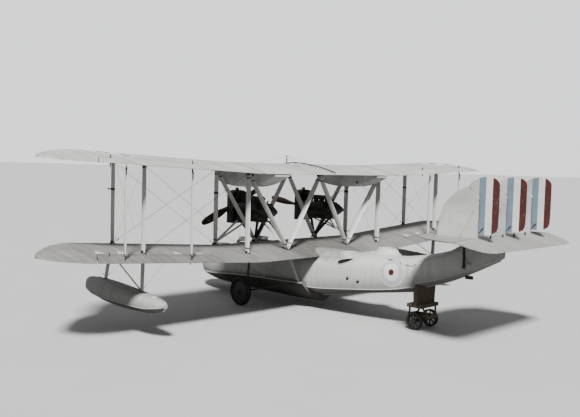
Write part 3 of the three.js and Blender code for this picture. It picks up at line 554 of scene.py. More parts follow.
class Finish(Shading):
    """A material in the making, with the boat's own coordinates at hand."""

    def __init__(self, name):
        self.material = bpy.data.materials.new(name)
        self.material.use_nodes = True
        super().__init__(self.material.node_tree)
        self.shader = self.tree.nodes["Principled BSDF"]
        coordinates = self.node("ShaderNodeTexCoord").outputs["Object"]
        self.here = self.node("ShaderNodeMapping", {"Vector": coordinates,
                                                    "Location": tuple(-DATUM)}).outputs[0]
        self.x, self.y, self.z = self.split(self.here)

    def weathered(self, colour, scale, grime, dirt=(0.11, 0.095, 0.075, 1), spread=0.16):
        """The colour made uneven, with grime run down it. Also returns the grime and the fine grain."""
        mark = self.place(weather(), Vector=self.here, Scale=scale)
        tone = self.remap(mark["Tone"], 0.3, 0.7, 1.0 - spread, 1.0 + 0.4 * spread)
        colour = self.shaded(colour, tone)
        return self.mix(self.times(mark["Grime"], grime), colour, dirt), mark["Grime"], mark["Grain"]

    def bare_edges(self, colour, metal, reach=0.25):
        """Paint worn off where the surface is most pointed."""
        point = self.node("ShaderNodeNewGeometry").outputs["Pointiness"]
        rub = self.noise(self.here, 45.0, 4.0, 0.7)
        worn = self.remap(self.plus(point, self.times(rub, 0.12)), 0.60, 0.60 + reach)
        return self.mix(worn, colour, metal)

    def done(self, colour, roughness, metallic=0.0, height=None, bump=0.25, distance=0.002, **constants):
        for label, value in (("Base Color", colour), ("Roughness", roughness), ("Metallic", metallic)):
            socket = self.shader.inputs[label]
            if isinstance(value, bpy.types.NodeSocket):
                self.tree.links.new(value, socket)
            else:
                socket.default_value = value
        if height is not None:
            relief = self.node("ShaderNodeBump", {"Height": height, "Strength": bump, "Distance": distance})
            self.tree.links.new(relief.outputs[0], self.shader.inputs["Normal"])
        for label, value in constants.items():
            self.shader.inputs[label.replace("_", " ")].default_value = value
        return self.material


def grey(value, warmth=0.0):
    return (value * (1 + warmth), value, value * (1 - warmth), 1)


def coat(name, share=1.0):
    """One of the boat's colours, or a darker share of it."""
    return (*(share * v for v in getattr(bpy.context.scene.boat_paint, name)), 1)


def plain_enamel():
    s = Finish("plain enamel")
    colour, grime, grain = s.weathered(coat("hull"), 2.5, 0.5)
    return s.done(colour, s.remap(grime, 0.0, 1.0, 0.42, 0.62), height=grain, bump=0.12, distance=0.001)


def hull_enamel():
    s = Finish("hull enamel")
    colour, grime, grain = s.weathered(coat("hull"), 0.9, 0.42)
    seams = s.place(sheet_seams(), Vector=s.join(s.x, s.plus(s.z, s.times(s.y, 0.8))))
    colour = s.mix(s.times(seams["Seam"], 0.45), colour, grey(0.16))
    colour = s.mix(s.times(seams["Nail"], 0.16), colour, grey(0.30, 0.1))
    wet = s.plus(s.z, s.times(s.noise(s.stretch(s.here, (2.0, 2.0, 0.6)), 2.2, 5.0, 0.6), 0.35))
    below = s.minus(wet, s.times(s.math("MINIMUM", s.x, 0.0), -0.18))
    colour = s.mix(s.remap(below, -1.45, -1.0, 0.5, 0.0), colour, (0.19, 0.185, 0.17, 1))
    up = s.upward()
    trodden = s.times(s.remap(up, 0.35, 0.75), s.remap(s.x, -2.7, -1.7))
    scuffs = s.remap(s.noise(s.stretch(s.here, (1.0, 2.5, 1.0)), 2.6, 6.0, 0.72), 0.32, 0.62, 0.35, 0.85)
    colour = s.mix(s.times(trodden, scuffs), colour, (0.19, 0.185, 0.17, 1))
    side = s.place(roundel(), Vector=s.join(s.plus(s.x, 4.1), s.plus(s.z, 0.43)), Radius=0.5, Fade=0.55)
    on_side = s.times(side["Mask"], s.remap(s.absolute(s.y), 0.45, 0.46))
    worn = s.remap(s.noise(s.here, 14.0, 6.0, 0.75), 0.60, 0.70, 1.0, 0.97)
    colour = s.mix(s.times(on_side, worn), colour, side["Paint"])
    rough = s.remap(grime, 0.0, 1.0, 0.42, 0.62)
    height = s.plus(seams["Height"], s.times(grain, 0.10))
    return s.done(colour, rough, height=height, bump=0.30, distance=0.0015)


def float_paint():
    s = Finish("float paint")
    colour, grime, grain = s.weathered(coat("hull", 0.70), 1.3, 0.6, (0.09, 0.08, 0.06, 1), 0.25)
    seams = s.place(sheet_seams(), Vector=s.join(s.x, s.z), Length=0.9, Width=0.6)
    colour = s.mix(s.times(seams["Seam"], 0.5), colour, grey(0.14))
    wet = s.plus(s.z, s.times(s.noise(s.here, 2.5, 5.0, 0.65), 0.20))
    colour = s.mix(s.remap(wet, -1.28, -1.12, 0.6, 0.0), colour, (0.12, 0.115, 0.10, 1))
    height = s.plus(seams["Height"], s.times(grain, 0.12))
    return s.done(colour, s.remap(grime, 0.0, 1.0, 0.42, 0.65), height=height, bump=0.3, distance=0.0015)


def bottom_paint():
    s = Finish("bottom paint")
    colour, grime, grain = s.weathered(coat("bottom"), 1.4, 0.55, (0.07, 0.065, 0.045, 1), 0.3)
    plank = s.place(sheet_seams(), Vector=s.join(s.x, s.y), Length=1.6, Width=0.16)
    colour = s.mix(s.times(plank["Seam"], 0.6), colour, grey(0.05))
    colour = s.mix(s.times(plank["Nail"], 0.35), colour, (0.20, 0.13, 0.07, 1))
    scuff = s.remap(s.noise(s.stretch(s.here, (1.0, 9.0, 9.0)), 3.0, 5.0, 0.7), 0.56, 0.72)
    colour = s.mix(s.times(scuff, 0.5), colour, (0.34, 0.27, 0.19, 1))
    height = s.plus(plank["Height"], s.times(grain, 0.15))
    return s.done(colour, s.remap(grime, 0.0, 1.0, 0.38, 0.7), height=height, bump=0.35, distance=0.002)


def linen(name, tone, vector=None, mark=None, streak=0.26):
    """Doped linen with rib tapes. The vector has the ribs' spacing in x; mark adds a painted pattern."""
    s = Finish(name)
    cloth = bpy.context.scene.boat_fabric
    across = vector(s) if vector else s.join(s.y, s.x)
    tape = s.place(rib_tape(), Vector=across, Spacing=cloth.rib_spacing, Tape=cloth.tape_width)
    colour, grime, grain = s.weathered(tone, 0.55, streak, (0.085, 0.07, 0.055, 1), 0.22)
    broad = s.remap(s.noise(s.stretch(s.here, (0.35, 1.4, 1.0)), 1.6, 5.0, 0.6), 0.35, 0.68, 0.86, 1.10)
    colour = s.shaded(colour, broad)
    colour = s.mix(s.times(tape["Tape"], 0.22), colour, grey(0.62, 0.02))
    colour = s.mix(s.times(tape["Stitch"], 0.40), colour, grey(0.10, 0.05))
    if mark:
        colour = mark(s, colour)
    weave = s.times(s.noise(s.here, 420.0, 2.0, 0.5), 0.20)
    height = s.plus(s.plus(tape["Height"], weave), s.times(grain, 0.25))
    rough = s.remap(grime, 0.0, 1.0, 0.50, 0.72)
    return s.done(colour, rough, height=height, bump=0.5, distance=0.0012)


def wing_roundel(s, colour, facing_up):
    """Large roundels near both tips, on one side of the wing only."""
    tips = s.join(s.minus(s.x, 0.85), s.minus(s.absolute(s.y), 9.0))
    rings = s.place(roundel(), Vector=tips, Radius=0.95, Fade=0.4)
    up = s.upward()
    outer = s.remap(s.times(up, 1.0 if facing_up else -1.0), 0.1, 0.3)
    faded = s.remap(s.noise(s.here, 9.0, 6.0, 0.7), 0.58, 0.72, 1.0, 0.7)
    return s.mix(s.times(s.times(rings["Mask"], outer), faded), colour, rings["Paint"])


def oil_wash(s, colour, strength=0.5):
    """Oil and soot blown back over the wing behind each engine."""
    off = s.absolute(s.minus(s.absolute(s.y), ENGINE_Y))
    back = s.remap(s.x, 1.8, TE_X, 0.5, 1.0)
    plume = s.times(s.remap(off, 0.15, 0.75, 1.0, 0.0), back)
    runs = s.remap(s.noise(s.stretch(s.here, (0.6, 9.0, 9.0)), 1.5, 5.0, 0.65), 0.40, 0.70)
    return s.mix(s.times(s.times(plume, runs), strength), colour, (0.05, 0.042, 0.035, 1))


def walkway(s, colour):
    """Boarding over the hull that boots and oil have darkened."""
    off = s.absolute(s.y)
    middle = s.times(s.remap(off, 1.55, 1.75, 1.0, 0.0), s.remap(s.x, 1.95, 1.75))
    scuffs = s.remap(s.noise(s.stretch(s.here, (1.0, 3.0, 1.0)), 2.4, 6.0, 0.72), 0.32, 0.62, 0.25, 0.85)
    board = s.remap(s.fold(s.y, 0.09), 0.0, 0.004, 1.0, 0.0)
    colour = s.mix(s.times(middle, scuffs), colour, (0.11, 0.10, 0.088, 1))
    return s.mix(s.times(middle, s.times(board, 0.4)), colour, grey(0.04))


def stripes(s, colour):
    """Three broad upright stripes over the chord of a rudder."""
    behind = s.minus(POST_X, s.x)
    worn = s.remap(s.noise(s.here, 12.0, 6.0, 0.72), 0.58, 0.72, 1.0, 0.75)
    worn = s.times(worn, s.remap(behind, -0.042, -0.040))
    band_paint = s.mix(s.remap(behind, 0.178, 0.182), coat("blue"), coat("white"))
    band_paint = s.mix(s.remap(behind, 0.388, 0.392), band_paint, coat("red"))
    tone = s.remap(s.noise(s.here, 2.0, 4.0, 0.6), 0.3, 0.7, 0.86, 1.06)
    band_paint = s.shaded(band_paint, tone)
    return s.mix(worn, colour, band_paint)


def painted_wood(name, tone, wear=0.5):
    """Painted spruce: long grain under the paint, chipped and soiled at its edges."""
    s = Finish(name)
    colour, grime, _ = s.weathered(tone, 1.6, 0.40, (0.10, 0.085, 0.07, 1), 0.2)
    fibre = s.place(wood_grain(), Vector=s.join(s.z, s.x, s.y), Scale=4.0)["Grain"]
    colour = s.mix(s.remap(fibre, 0.55, 0.8, 0.0, 0.14), colour, grey(0.24, 0.1))
    chips = s.remap(s.noise(s.here, 17.0, 7.0, 0.75), 0.66, 0.70)
    colour = s.mix(s.times(chips, wear), colour, (0.20, 0.145, 0.09, 1))
    height = s.plus(s.times(fibre, 0.5), s.times(chips, -0.6))
    return s.done(colour, s.remap(grime, 0.0, 1.0, 0.40, 0.65), height=height, bump=0.25, distance=0.001)


def bare_wood(name, tone, dark, gloss=0.35, varnish=0.0):
    s = Finish(name)
    fibre = s.place(wood_grain(), Vector=s.here, Scale=3.5)["Grain"]
    colour = s.mix(s.remap(fibre, 0.25, 0.75), dark, tone)
    grain = s.noise(s.here, 90.0, 3.0, 0.7)
    rough = s.remap(s.noise(s.here, 5.0, 5.0, 0.7), 0.3, 0.7, gloss, gloss + 0.25)
    return s.done(colour, rough, height=s.plus(fibre, s.times(grain, 0.3)), bump=0.3, distance=0.0012,
                  Coat_Weight=varnish, Coat_Roughness=0.15)


def propeller_varnish():
    """Laminated, varnished wood: layers across the thickness, darker towards the glue lines."""
    s = Finish("propeller varnish")
    layer = s.fold(s.plus(s.x, s.times(s.noise(s.here, 2.0, 2.0, 0.5), 0.004)), 0.012)
    fibre = s.place(wood_grain(), Vector=s.join(s.y, s.z, s.x), Scale=5.0)["Grain"]
    colour = s.mix(s.remap(fibre, 0.3, 0.75), (0.012, 0.006, 0.004, 1), (0.040, 0.018, 0.010, 1))
    colour = s.mix(s.remap(layer, 0.0, 0.0018, 0.7, 0.0), colour, (0.006, 0.004, 0.003, 1))
    rough = s.remap(s.noise(s.here, 8.0, 5.0, 0.7), 0.3, 0.75, 0.22, 0.48)
    return s.done(colour, rough, height=fibre, bump=0.12, distance=0.0008, Coat_Weight=0.5,
                  Coat_Roughness=0.12)


def metal(name, tone, rough, dirt=0.5, metallic=1.0, scale=3.0, dirt_tone=(0.035, 0.03, 0.025, 1), wear=None):
    """Bare or painted metal, oily in patches, with a cast or brushed grain."""
    s = Finish(name)
    colour, _, grain = s.weathered(tone, scale, dirt, dirt_tone, 0.35)
    if wear:
        colour = s.bare_edges(colour, wear)
    spots = s.remap(s.noise(s.here, 22.0, 5.0, 0.7), 0.45, 0.75, rough - 0.08, rough + 0.22)
    return s.done(colour, spots, metallic, grain, 0.22, 0.0008)


def radiator_core():
    """A fine honeycomb of blackened tubes."""
    s = Finish("radiator core")
    cells = s.node("ShaderNodeTexVoronoi", {"Vector": s.join(s.y, s.z), "Scale": 95.0},
                   voronoi_dimensions="2D").outputs["Distance"]
    colour, _, _ = s.weathered((0.055, 0.040, 0.032, 1), 4.0, 0.5, (0.012, 0.012, 0.011, 1), 0.4)
    colour = s.mix(s.remap(cells, 0.32, 0.50), (0.006, 0.006, 0.006, 1), colour)
    return s.done(colour, 0.5, 0.7, cells, 0.6, 0.003)


def rubber():
    s = Finish("tyre rubber")
    colour, grime, grain = s.weathered((0.028, 0.027, 0.026, 1), 5.0, 0.7, (0.12, 0.105, 0.085, 1), 0.3)
    return s.done(colour, s.remap(grime, 0.0, 1.0, 0.72, 0.95), height=grain, bump=0.3, distance=0.001)


def leather():
    s = Finish("seat leather")
    cells = s.node("ShaderNodeTexVoronoi", {"Vector": s.here, "Scale": 210.0}).outputs["Distance"]
    colour, grime, _ = s.weathered((0.060, 0.030, 0.018, 1), 9.0, 0.5, (0.02, 0.013, 0.009, 1), 0.4)
    return s.done(colour, s.remap(grime, 0.0, 1.0, 0.42, 0.65), height=cells, bump=0.35, distance=0.0009)


def canvas():
    s = Finish("canvas strap")
    wave = s.node("ShaderNodeTexWave", {"Vector": s.here, "Scale": 90.0, "Distortion": 1.0}).outputs["Fac"]
    colour, _, _ = s.weathered((0.30, 0.25, 0.17, 1), 7.0, 0.6, (0.09, 0.075, 0.05, 1), 0.3)
    return s.done(colour, 0.85, height=wave, bump=0.5, distance=0.0012)


def clear_pane():
    s = Finish("windscreen pane")
    haze = s.remap(s.noise(s.here, 14.0, 5.0, 0.7), 0.4, 0.8, 0.05, 0.25)
    return s.done((0.86, 0.89, 0.87, 1), haze, IOR=1.47, Transmission_Weight=0.92)


FINISHES = {
    "hull": hull_enamel,
    "hull_plain": plain_enamel,
    "bottom": bottom_paint,
    "float": float_paint,
    "linen_lower": lambda: linen("lower wing linen", coat("lower"),
                                 mark=lambda s, c: wing_roundel(s, walkway(s, oil_wash(s, c)), False)),
    # The upper wing's linen is much paler than the lower wing's; part of the difference is painted sheen, for
    # the grazing light on the upper wing.
    "linen_upper": lambda: linen("upper wing linen", coat("upper"),
                                 mark=lambda s, c: wing_roundel(s, c, True)),
    # A darker copy of the lower wing's linen: painted shade for ailerons that droop and catch less light.
    "linen_aileron": lambda: linen("aileron linen", coat("lower", 0.82)),
    "linen_tail": lambda: linen("tailplane linen", coat("tailplane")),
    "linen_fin": lambda: linen("fin linen", coat("tail"), lambda s: s.join(s.z, s.x)),
    "stripes": lambda: linen("striped rudder linen", coat("tail"), lambda s: s.join(s.z, s.x), stripes, 0.12),
    "strut": lambda: painted_wood("strut paint", coat("strut")),
    "enamel": lambda: metal("engine enamel", (0.045, 0.045, 0.046, 1), 0.36, 0.55, 0.1, wear=grey(0.09)),
    "casting": lambda: metal("oily casting", (0.050, 0.049, 0.046, 1), 0.46, 0.65, 0.5,
                             dirt_tone=grey(0.012)),
    "steel": lambda: metal("worn steel", (0.20, 0.195, 0.185, 1), 0.34, 0.5, 1.0, 6.0,
                           (0.06, 0.04, 0.025, 1)),
    "iron": lambda: metal("painted iron", coat("iron"), 0.55, 0.55, 0.5, 4.0, (0.09, 0.05, 0.028, 1),
                          grey(0.2)),
    "wire": lambda: metal("wire steel", (0.22, 0.22, 0.215, 1), 0.38, 0.4, 1.0, 8.0),
    "brass": lambda: metal("dull brass", (0.24, 0.18, 0.09, 1), 0.42, 0.5, 0.9, 9.0),
    "brass_dark": lambda: metal("oily brass", (0.075, 0.052, 0.026, 1), 0.5, 0.6, 0.8, 9.0),
    "exhaust": lambda: metal("burnt exhaust", (0.036, 0.024, 0.018, 1), 0.65, 0.5, 0.5, 7.0, grey(0.012)),
    # Pale tank paint, set paler than the hull's: the extra is painted light thrown up from the lower wing
    # onto tanks in the upper wing's shade.
    "tank": lambda: metal("tank paint", coat("tank"), 0.42, 0.25, 0.0, 1.4, (0.09, 0.08, 0.065, 1)),
    "shell": lambda: metal("radiator shell", (0.014, 0.014, 0.015, 1), 0.38, 0.45, 0.2, wear=grey(0.10, 0.2)),
    "core": radiator_core,
    "varnish": propeller_varnish,
    "plank": lambda: bare_wood("weathered plank", (0.27, 0.215, 0.155, 1), (0.115, 0.085, 0.058, 1), 0.65),
    "ash": lambda: bare_wood("varnished ash", (0.30, 0.18, 0.085, 1), (0.17, 0.088, 0.036, 1), 0.25, 0.5),
    "wheel_paint": lambda: metal("wheel paint", (0.10, 0.098, 0.092, 1), 0.5, 0.7, 0.2, 5.0,
                                 (0.05, 0.035, 0.025, 1)),
    "rubber": rubber,
    "leather": leather,
    "canvas": canvas,
    "pane": clear_pane,
    # Flat black for instrument rims; the same finish is painted shade on the side opening plates and the port
    # light glass.
    "dark": lambda: metal("instrument black", (0.012, 0.012, 0.012, 1), 0.45, 0.3, 0.0, 9.0,
                          (0.05, 0.045, 0.04, 1)),
    "dial": lambda: metal("dial face", (0.42, 0.41, 0.37, 1), 0.4, 0.3, 0.0, 14.0, (0.12, 0.1, 0.07, 1)),
}


def finish(name):
    """The named finish, built the first time that a piece asks for it."""
    material = FINISH_CACHE.get(name)
    if material is None:
        material = FINISH_CACHE[name] = FINISHES[name]()
    return material


FINISH_CACHE = {}


# Wing skins

NOSE_TO_TAIL = [(sqrt(back), top, under) for back, top, under in AEROFOIL]
TOP, UNDER = 1, 2


def rise(level, y):
    return max(0.0, abs(y) - CENTRE_END) * DIHEDRAL[level]


def plan(y):
    """Leading edge, trailing edge and thickness share of a wing at y."""
    y = abs(y)
    if y <= PANEL[0][0]:
        return LE_X, TE_X, 1.0
    return row_at(PANEL, y)


def skin(level, x, y, column):
    """Height of a wing's top or underside."""
    lead, trail, thick = plan(y)
    back = min(max((lead - x) / (lead - trail), 0.0), 1.0)
    share = curve(NOSE_TO_TAIL, sqrt(back), column)
    return LEVELS[level] + share * CHORD * thick + x * RISE + rise(level, y)


NOSE_RADIUS = (skin("lower", HINGE_X, 0, TOP) - skin("lower", HINGE_X, 0, UNDER)) / 2 - 0.0015
PANEL_REAR = HINGE_X + NOSE_RADIUS + RUNNING


def rib_step():
    """A quarter of the ribs' spacing, from one ring of a covered surface to the next."""
    return bpy.context.scene.boat_fabric.rib_spacing / 4


def bay_sag(place, share=1.0):
    """How far the cloth sinks at a place between two ribs."""
    between = abs(place) / (4 * rib_step()) % 1.0
    return share * bpy.context.scene.boat_fabric.rib_sag * 4 * between * (1 - between)


def sagged(level, x, y, column, rear):
    """The skin's height where the cloth sinks a little between two ribs."""
    lead = plan(y)[0]
    share = min(max((x - rear) / (lead - 0.14 - rear), 0.0), 1.0)
    depth = bay_sag(y) * sin(pi * share) ** 0.7
    return skin(level, x, y, column) + (-depth if column == TOP else depth)


def bay_rear(y):
    """How far aft a panel reaches at y: to its trailing edge, or to the aileron's bay."""
    y = abs(y)
    trail = plan(y)[1]
    if y <= AILERON_IN:
        return trail
    slope = RAKE / (PANEL_REAR - TE_X)
    return max(trail, PANEL_REAR - max(0.0, y - AILERON_OUT) / slope)


def wing_ring(level, y, rear, fixed):
    lead = plan(y)[0]
    xs = [lead - (lead - fixed) * (i / 15) ** 2 for i in range(16)]
    xs += [fixed + (rear - fixed) * i / 8 for i in range(1, 9)]
    sides = [[at(x, y, sagged(level, x, y, column, rear if rear > TE_X + 0.3 else TE_X)) for x in xs]
             for column in (TOP, UNDER)]
    top, under = sides
    nose = (top[0] + under[0]) / 2
    wall = top[-1].lerp(under[-1], 0.5)
    return [nose, *top[1:], wall, *reversed(under[1:])]


def wing_skin(bm, level, low, high):
    """Skin from one y to another, a ring at every quarter of a rib bay."""
    sign = 1.0 if high > 0 or low < 0 < high else -1.0
    ys = {round(y, 5) for y in spread(low, high, rib_step())}
    edges = [AILERON_IN, AILERON_OUT, AILERON_OUT + RAKE]
    tips = [10.7, 10.95, 11.1, 11.2, 11.28, 11.34, 11.38, 11.41, 11.425]
    ys |= {sign * y for y in edges + tips if low < sign * y < high}
    rings = []
    for y in sorted(ys, key=abs if low >= 0 or high <= 0 else None):
        centre = abs(y) <= CENTRE_END
        fixed = plan(y)[1] + 0.35 if centre else max(PANEL_REAR, plan(y)[1] + 0.05)
        if not centre and abs(abs(y) - AILERON_IN) < 1e-4:
            rings.append(wing_ring(level, y, TE_X, fixed))
            rings.append(wing_ring(level, y, PANEL_REAR, fixed))
            continue
        rear = plan(y)[1] if centre else bay_rear(y)
        rings.append(wing_ring(level, y, min(rear, fixed), fixed))
    loft(bm, rings)


def hinge_height(level, y):
    return (skin(level, HINGE_X, y, TOP) + skin(level, HINGE_X, y, UNDER)) / 2


def aileron_ring(level, y, front):
    trail = plan(y)[1] + 0.004
    middle = hinge_height(level, y)
    ring = []
    for i in range(11):
        angle = QUARTER - pi * i / 10
        x = HINGE_X + NOSE_RADIUS * cos(angle)
        z = middle + NOSE_RADIUS * sin(angle)
        if x > front:
            place = max(front, trail)
            x, over, low = place, skin(level, place, y, TOP), skin(level, place, y, UNDER)
            z = (over + low) / 2 + (over - low) / 2 * sin(angle) * 0.97
        ring.append(at(x, y, z))
    aft = []
    for i in range(1, 9):
        x = min(HINGE_X + (trail - HINGE_X) * i / 8, max(front, trail))
        depth = bay_sag(y, 0.7) * sin(pi * i / 9)
        aft.append((x, depth))
    under = [at(x, y, skin(level, x, y, UNDER) + depth) for x, depth in aft]
    top = [at(x, y, skin(level, x, y, TOP) - depth - 0.001) for x, depth in aft]
    return ring + under + list(reversed(top))


def aileron_skin(bm, level, sign):
    low, high = AILERON_IN + RUNNING, AILERON_OUT + RAKE - 2.6 * RUNNING - 0.012
    slope = RAKE / (PANEL_REAR - TE_X)
    rings = []
    for y in spread(low, high, rib_step()):
        front = PANEL_REAR - max(0.0, y - (AILERON_OUT - 2.6 * RUNNING)) / slope
        rings.append(aileron_ring(level, sign * y, front))
    loft(bm, rings)


def dress_wings():
    for level in LEVELS:
        cover = f"linen_{level}"
        bm = bmesh.new()
        wing_skin(bm, level, -CENTRE_END + 0.001, CENTRE_END - 0.001)
        piece(bm, f"{level}_centre_skin", cover, replaces=[f"{level}_centre_wing"],
              sharp=50)
        for side, s in SIDES.items():
            bm = bmesh.new()
            ends = sorted((s * (CENTRE_END + 0.001), s * (TIP_Y - 0.002)))
            wing_skin(bm, level, *ends)
            brackets = bmesh.new()
            for y in (5.90, 7.50, 9.60):
                z = hinge_height(level, y)
                for off in (-0.018, 0.018):
                    place = on_edge(0, s * (y + off), z)
                    ear = [(PANEL_REAR + 0.02, -0.024), (PANEL_REAR + 0.02, 0.024),
                           (HINGE_X + NOSE_RADIUS + 0.004, 0.014), (HINGE_X + NOSE_RADIUS + 0.002, 0),
                           (HINGE_X + NOSE_RADIUS + 0.004, -0.014)]
                    plate(brackets, ear, 0.006, place, 0.0015)
            piece(bm, f"{level}_skin_{side}", cover, replaces=[f"{level}_wing_{side}"],
                  sharp=50)
            piece(brackets, f"aileron_hinges_{level}_{side}", "steel")
            bm = bmesh.new()
            aileron_skin(bm, level, s)
            name = f"aileron_{level}_{side}"
            # The lower ailerons take the darker copy of the wing's linen, which is painted shade.
            moving = "linen_aileron" if level == "lower" else cover
            piece(bm, f"{name}_skin", moving, name, [name], sharp=55)
    joint_covers()


def joint_covers():
    """Strips over the joints of centre wings and panels, and small inspection eyelets under the panels."""
    strips, eyelets = bmesh.new(), bmesh.new()
    for level in LEVELS:
        for s in SIDES.values():
            y = s * CENTRE_END
            ring_at = []
            for off in (-0.045, -0.04, 0.04, 0.045):
                lift = 0.0035 if abs(off) < 0.043 else -0.004
                line = []
                for column in (TOP, UNDER):
                    xs = [LE_X - (LE_X - TE_X) * (i / 22) ** 1.6 for i in range(23)]
                    sign = 1 if column == TOP else -1
                    row = [at(x, y + off, skin(level, x, y + off, column) + sign * lift) for x in xs]
                    line += row if column == TOP else row[:0:-1]
                line[0].x += lift
                ring_at.append(line)
            loft(strips, ring_at)
            for panel_y in (4.6, 5.6, 7.2, 8.9, 10.2):
                x = 1.35
                z = skin(level, x, panel_y, UNDER)
                turned(eyelets, [(0.008, 0.001), (0.016, -0.003), (0.022, 0.001)],
                       at(x, s * panel_y, z - 0.001), steps=12)
    patches = bmesh.new()
    for level in LEVELS:
        for y in (s * y for s in SIDES.values() for y in (5.9, 6.75, 8.85, 9.6)):
            hinge_patch(patches, level, y)
    piece(patches, "hinge_patches", "hull_plain", sharp=50)
    piece(strips, "wing_joint_strips", "linen_lower", sharp=50)
    piece(eyelets, "wing_eyelets", "brass")


def hinge_patch(bm, level, y):
    """Three-cornered cover on the wing ahead of an aileron's hinge."""
    rings = []
    for share in (0.0, 0.25, 0.5, 0.75, 0.97):
        x, half = PANEL_REAR + 0.012 + 0.34 * share, 0.16 * (1 - share)
        ys = [y + half * u for u in (-1, -0.5, 0, 0.5, 1)]
        lift = 0.004 + 0.018 * (1 - share)
        over = [at(x, v, skin(level, x, v, TOP) + lift * (1 - abs(v - y) / half) + 0.003) for v in ys]
        rings.append(over + [at(x, v, skin(level, x, v, TOP) - 0.008) for v in reversed(ys)])
    loft(bm, rings)


# Hull and floats

def hull_section(keel, chine, deck, half):
    """Half section from the keel to the deck's middle: hollow bottom, then rounded side and deck."""
    bottom = []
    for i in range(1, 6):
        t = i / 5
        hollow = 0.10 * sin(pi * t)
        bottom.append((0.93 * half * t, keel + (chine - keel) * (t - hollow)))
    tall = deck - chine
    knots = [(0.93, 0.0), (0.985, 0.2), (1.0, 0.42), (0.955, 0.68), (0.76, 0.87), (0.40, 0.97), (0.0, 1.0)]
    side = [(v.x * half, chine + v.z * tall) for v in smooth_path([at(u, 0, w) for u, w in knots], 4)]
    return [(0.0, keel), *bottom, *side[1:]]


def keeled_ring(x, y, right):
    """Closed ring from a right half outline that starts on the keel and ends on the deck."""
    left = [(-u, w) for u, w in reversed(right[1:-1])]
    return [at(x, y + u, w) for u, w in right + left]


def hull_table(x):
    return HULL if x > STEP_X else TAIL_HULL


def hull_stations():
    """Every hull ring's place and sizes, with a double ring at the rear step."""
    rows = []
    for table, step in ((TAIL_HULL, 0.11), (HULL, 0.12)):
        for x in spread(table[0][0], table[-1][0], step):
            rows.append((x, *row_at(table, x)))
    rows.append((6.762, -1.49, -1.41, -1.17, 0.06))
    return rows


def hull_half_width(x, z):
    """How far out the hull's side is at a height."""
    section = hull_section(*row_at(hull_table(x), x))
    best = 0.0
    for (u0, w0), (u1, w1) in zip(section, section[1:]):
        if min(w0, w1) <= z <= max(w0, w1) and abs(w1 - w0) > 1e-6:
            best = max(best, u0 + (u1 - u0) * (z - w0) / (w1 - w0))
    return best


def deck_height(x, y=0.0):
    section = hull_section(*row_at(hull_table(x), x))[6:]
    for (u0, w0), (u1, w1) in zip(section, section[1:]):
        if min(u0, u1) <= abs(y) <= max(u0, u1) and abs(u1 - u0) > 1e-6:
            return w0 + (w1 - w0) * (abs(y) - u0) / (u1 - u0)
    return section[-1][1]


def well_cutter(x, y, a, b, floor, top):
    bm = bmesh.new()
    plate(bm, oval(a, b, 40), top - floor, Matrix.Translation((x, y, (top + floor) / 2)))
    return bm


# x and z round the opening in each side of the rear hull
SIDE_PORT = [(p.x, p.z) for p in smooth_path(
    [at(-1.76, 0, -0.385), at(-1.75, 0, -0.30), at(-1.82, 0, -0.245), at(-1.98, 0, -0.20),
     at(-2.20, 0, -0.165),
     at(-2.43, 0, -0.15), at(-2.26, 0, -0.27), at(-2.03, 0, -0.36), at(-1.85, 0, -0.41)], 3)]


def dress_hull():
    bm = bmesh.new()
    loft(bm, [keeled_ring(row[0], 0.0, hull_section(*row[1:])) for row in hull_stations()])
    cutters = [well_cutter(x, y, a, b, floor, 0.6) for x, y, a, b, floor, _ in COCKPITS.values()]
    lips, painted_shade_plates = bmesh.new(), bmesh.new()
    for s in SIDES.values():
        cutters.append(bmesh.new())
        place = on_edge(0, s, 0)
        plate(cutters[-1], SIDE_PORT, 0.68, place)
        wider = [(-2.05 + 1.08 * (x + 2.05), -0.28 + 1.12 * (z + 0.28)) for x, z in SIDE_PORT]
        # A flat black plate just inside each side opening: painted shade, so the opening looks dark and deep
        # whatever the light.
        painted_shade_plate = painted_shade_plates.faces.new([painted_shade_plates.verts.new((x, s * (hull_half_width(x, z) - 0.04), z))
                                  for x, z in wider])
        bmesh.ops.solidify(painted_shade_plates, geom=[painted_shade_plate], thickness=0.01)
        tube(lips, [at(x, s * (hull_half_width(x, z) + 0.002), z) for x, z in SIDE_PORT], 0.016, 8,
             closed=True)
    bm = carve(bm, cutters)
    piece(bm, "hull_shell", "hull", replaces=["hull"], sharp=28)
    piece(lips, "side_port_lips", "hull_plain")
    piece(painted_shade_plates, "side_port_blinds", "dark")
    bottom = bmesh.new()
    rings = []
    for x in spread(BOTTOM[0][0], BOTTOM[-1][0], 0.14):
        keel, chine, half = row_at(BOTTOM, x)
        right = [(0.0, keel)]
        for i in range(1, 8):
            t = i / 7
            right.append((half * t, keel + (chine - keel) * (t - 0.13 * sin(pi * t))))
        right += [(half, chine + 0.045), (half - 0.02, chine + 0.058), (0.75 * half, chine + 0.078),
                  (0.5 * half, chine + 0.085), (0.0, chine + 0.085)]
        rings.append(keeled_ring(x, 0.0, right))
    loft(bottom, rings)
    piece(bottom, "planing_skin", "bottom", replaces=["planing_bottom"], sharp=30)
    hull_trim()


def hull_trim():
    """Keel shoe, chine rubbing strakes and spray strips."""
    bm = bmesh.new()
    for table, low, high in ((HULL, -4.93, -0.36), (TAIL_HULL, -7.74, -4.97)):
        xs = spread(low, high, 0.2)
        tube(bm, [at(x, 0, curve(table, x, 1) - 0.012) for x in xs], 0.024, 6)
        for s in (1, -1):
            edge = [at(x, s * (0.93 * curve(table, x, 4) + 0.004), curve(table, x, 2)) for x in xs]
            tube(bm, edge, 0.015, 6)
    xs = spread(-0.3, 6.6, 0.2)
    tube(bm, [at(x, 0, curve(BOTTOM, x, 1) - 0.008) for x in xs], 0.028, 6)
    for s in (1, -1):
        tube(bm, [at(x, s * (curve(BOTTOM, x, 3) + 0.002), curve(BOTTOM, x, 2) + 0.022) for x in xs], 0.020,
             6)
    piece(bm, "keel_and_chines", "hull_plain")


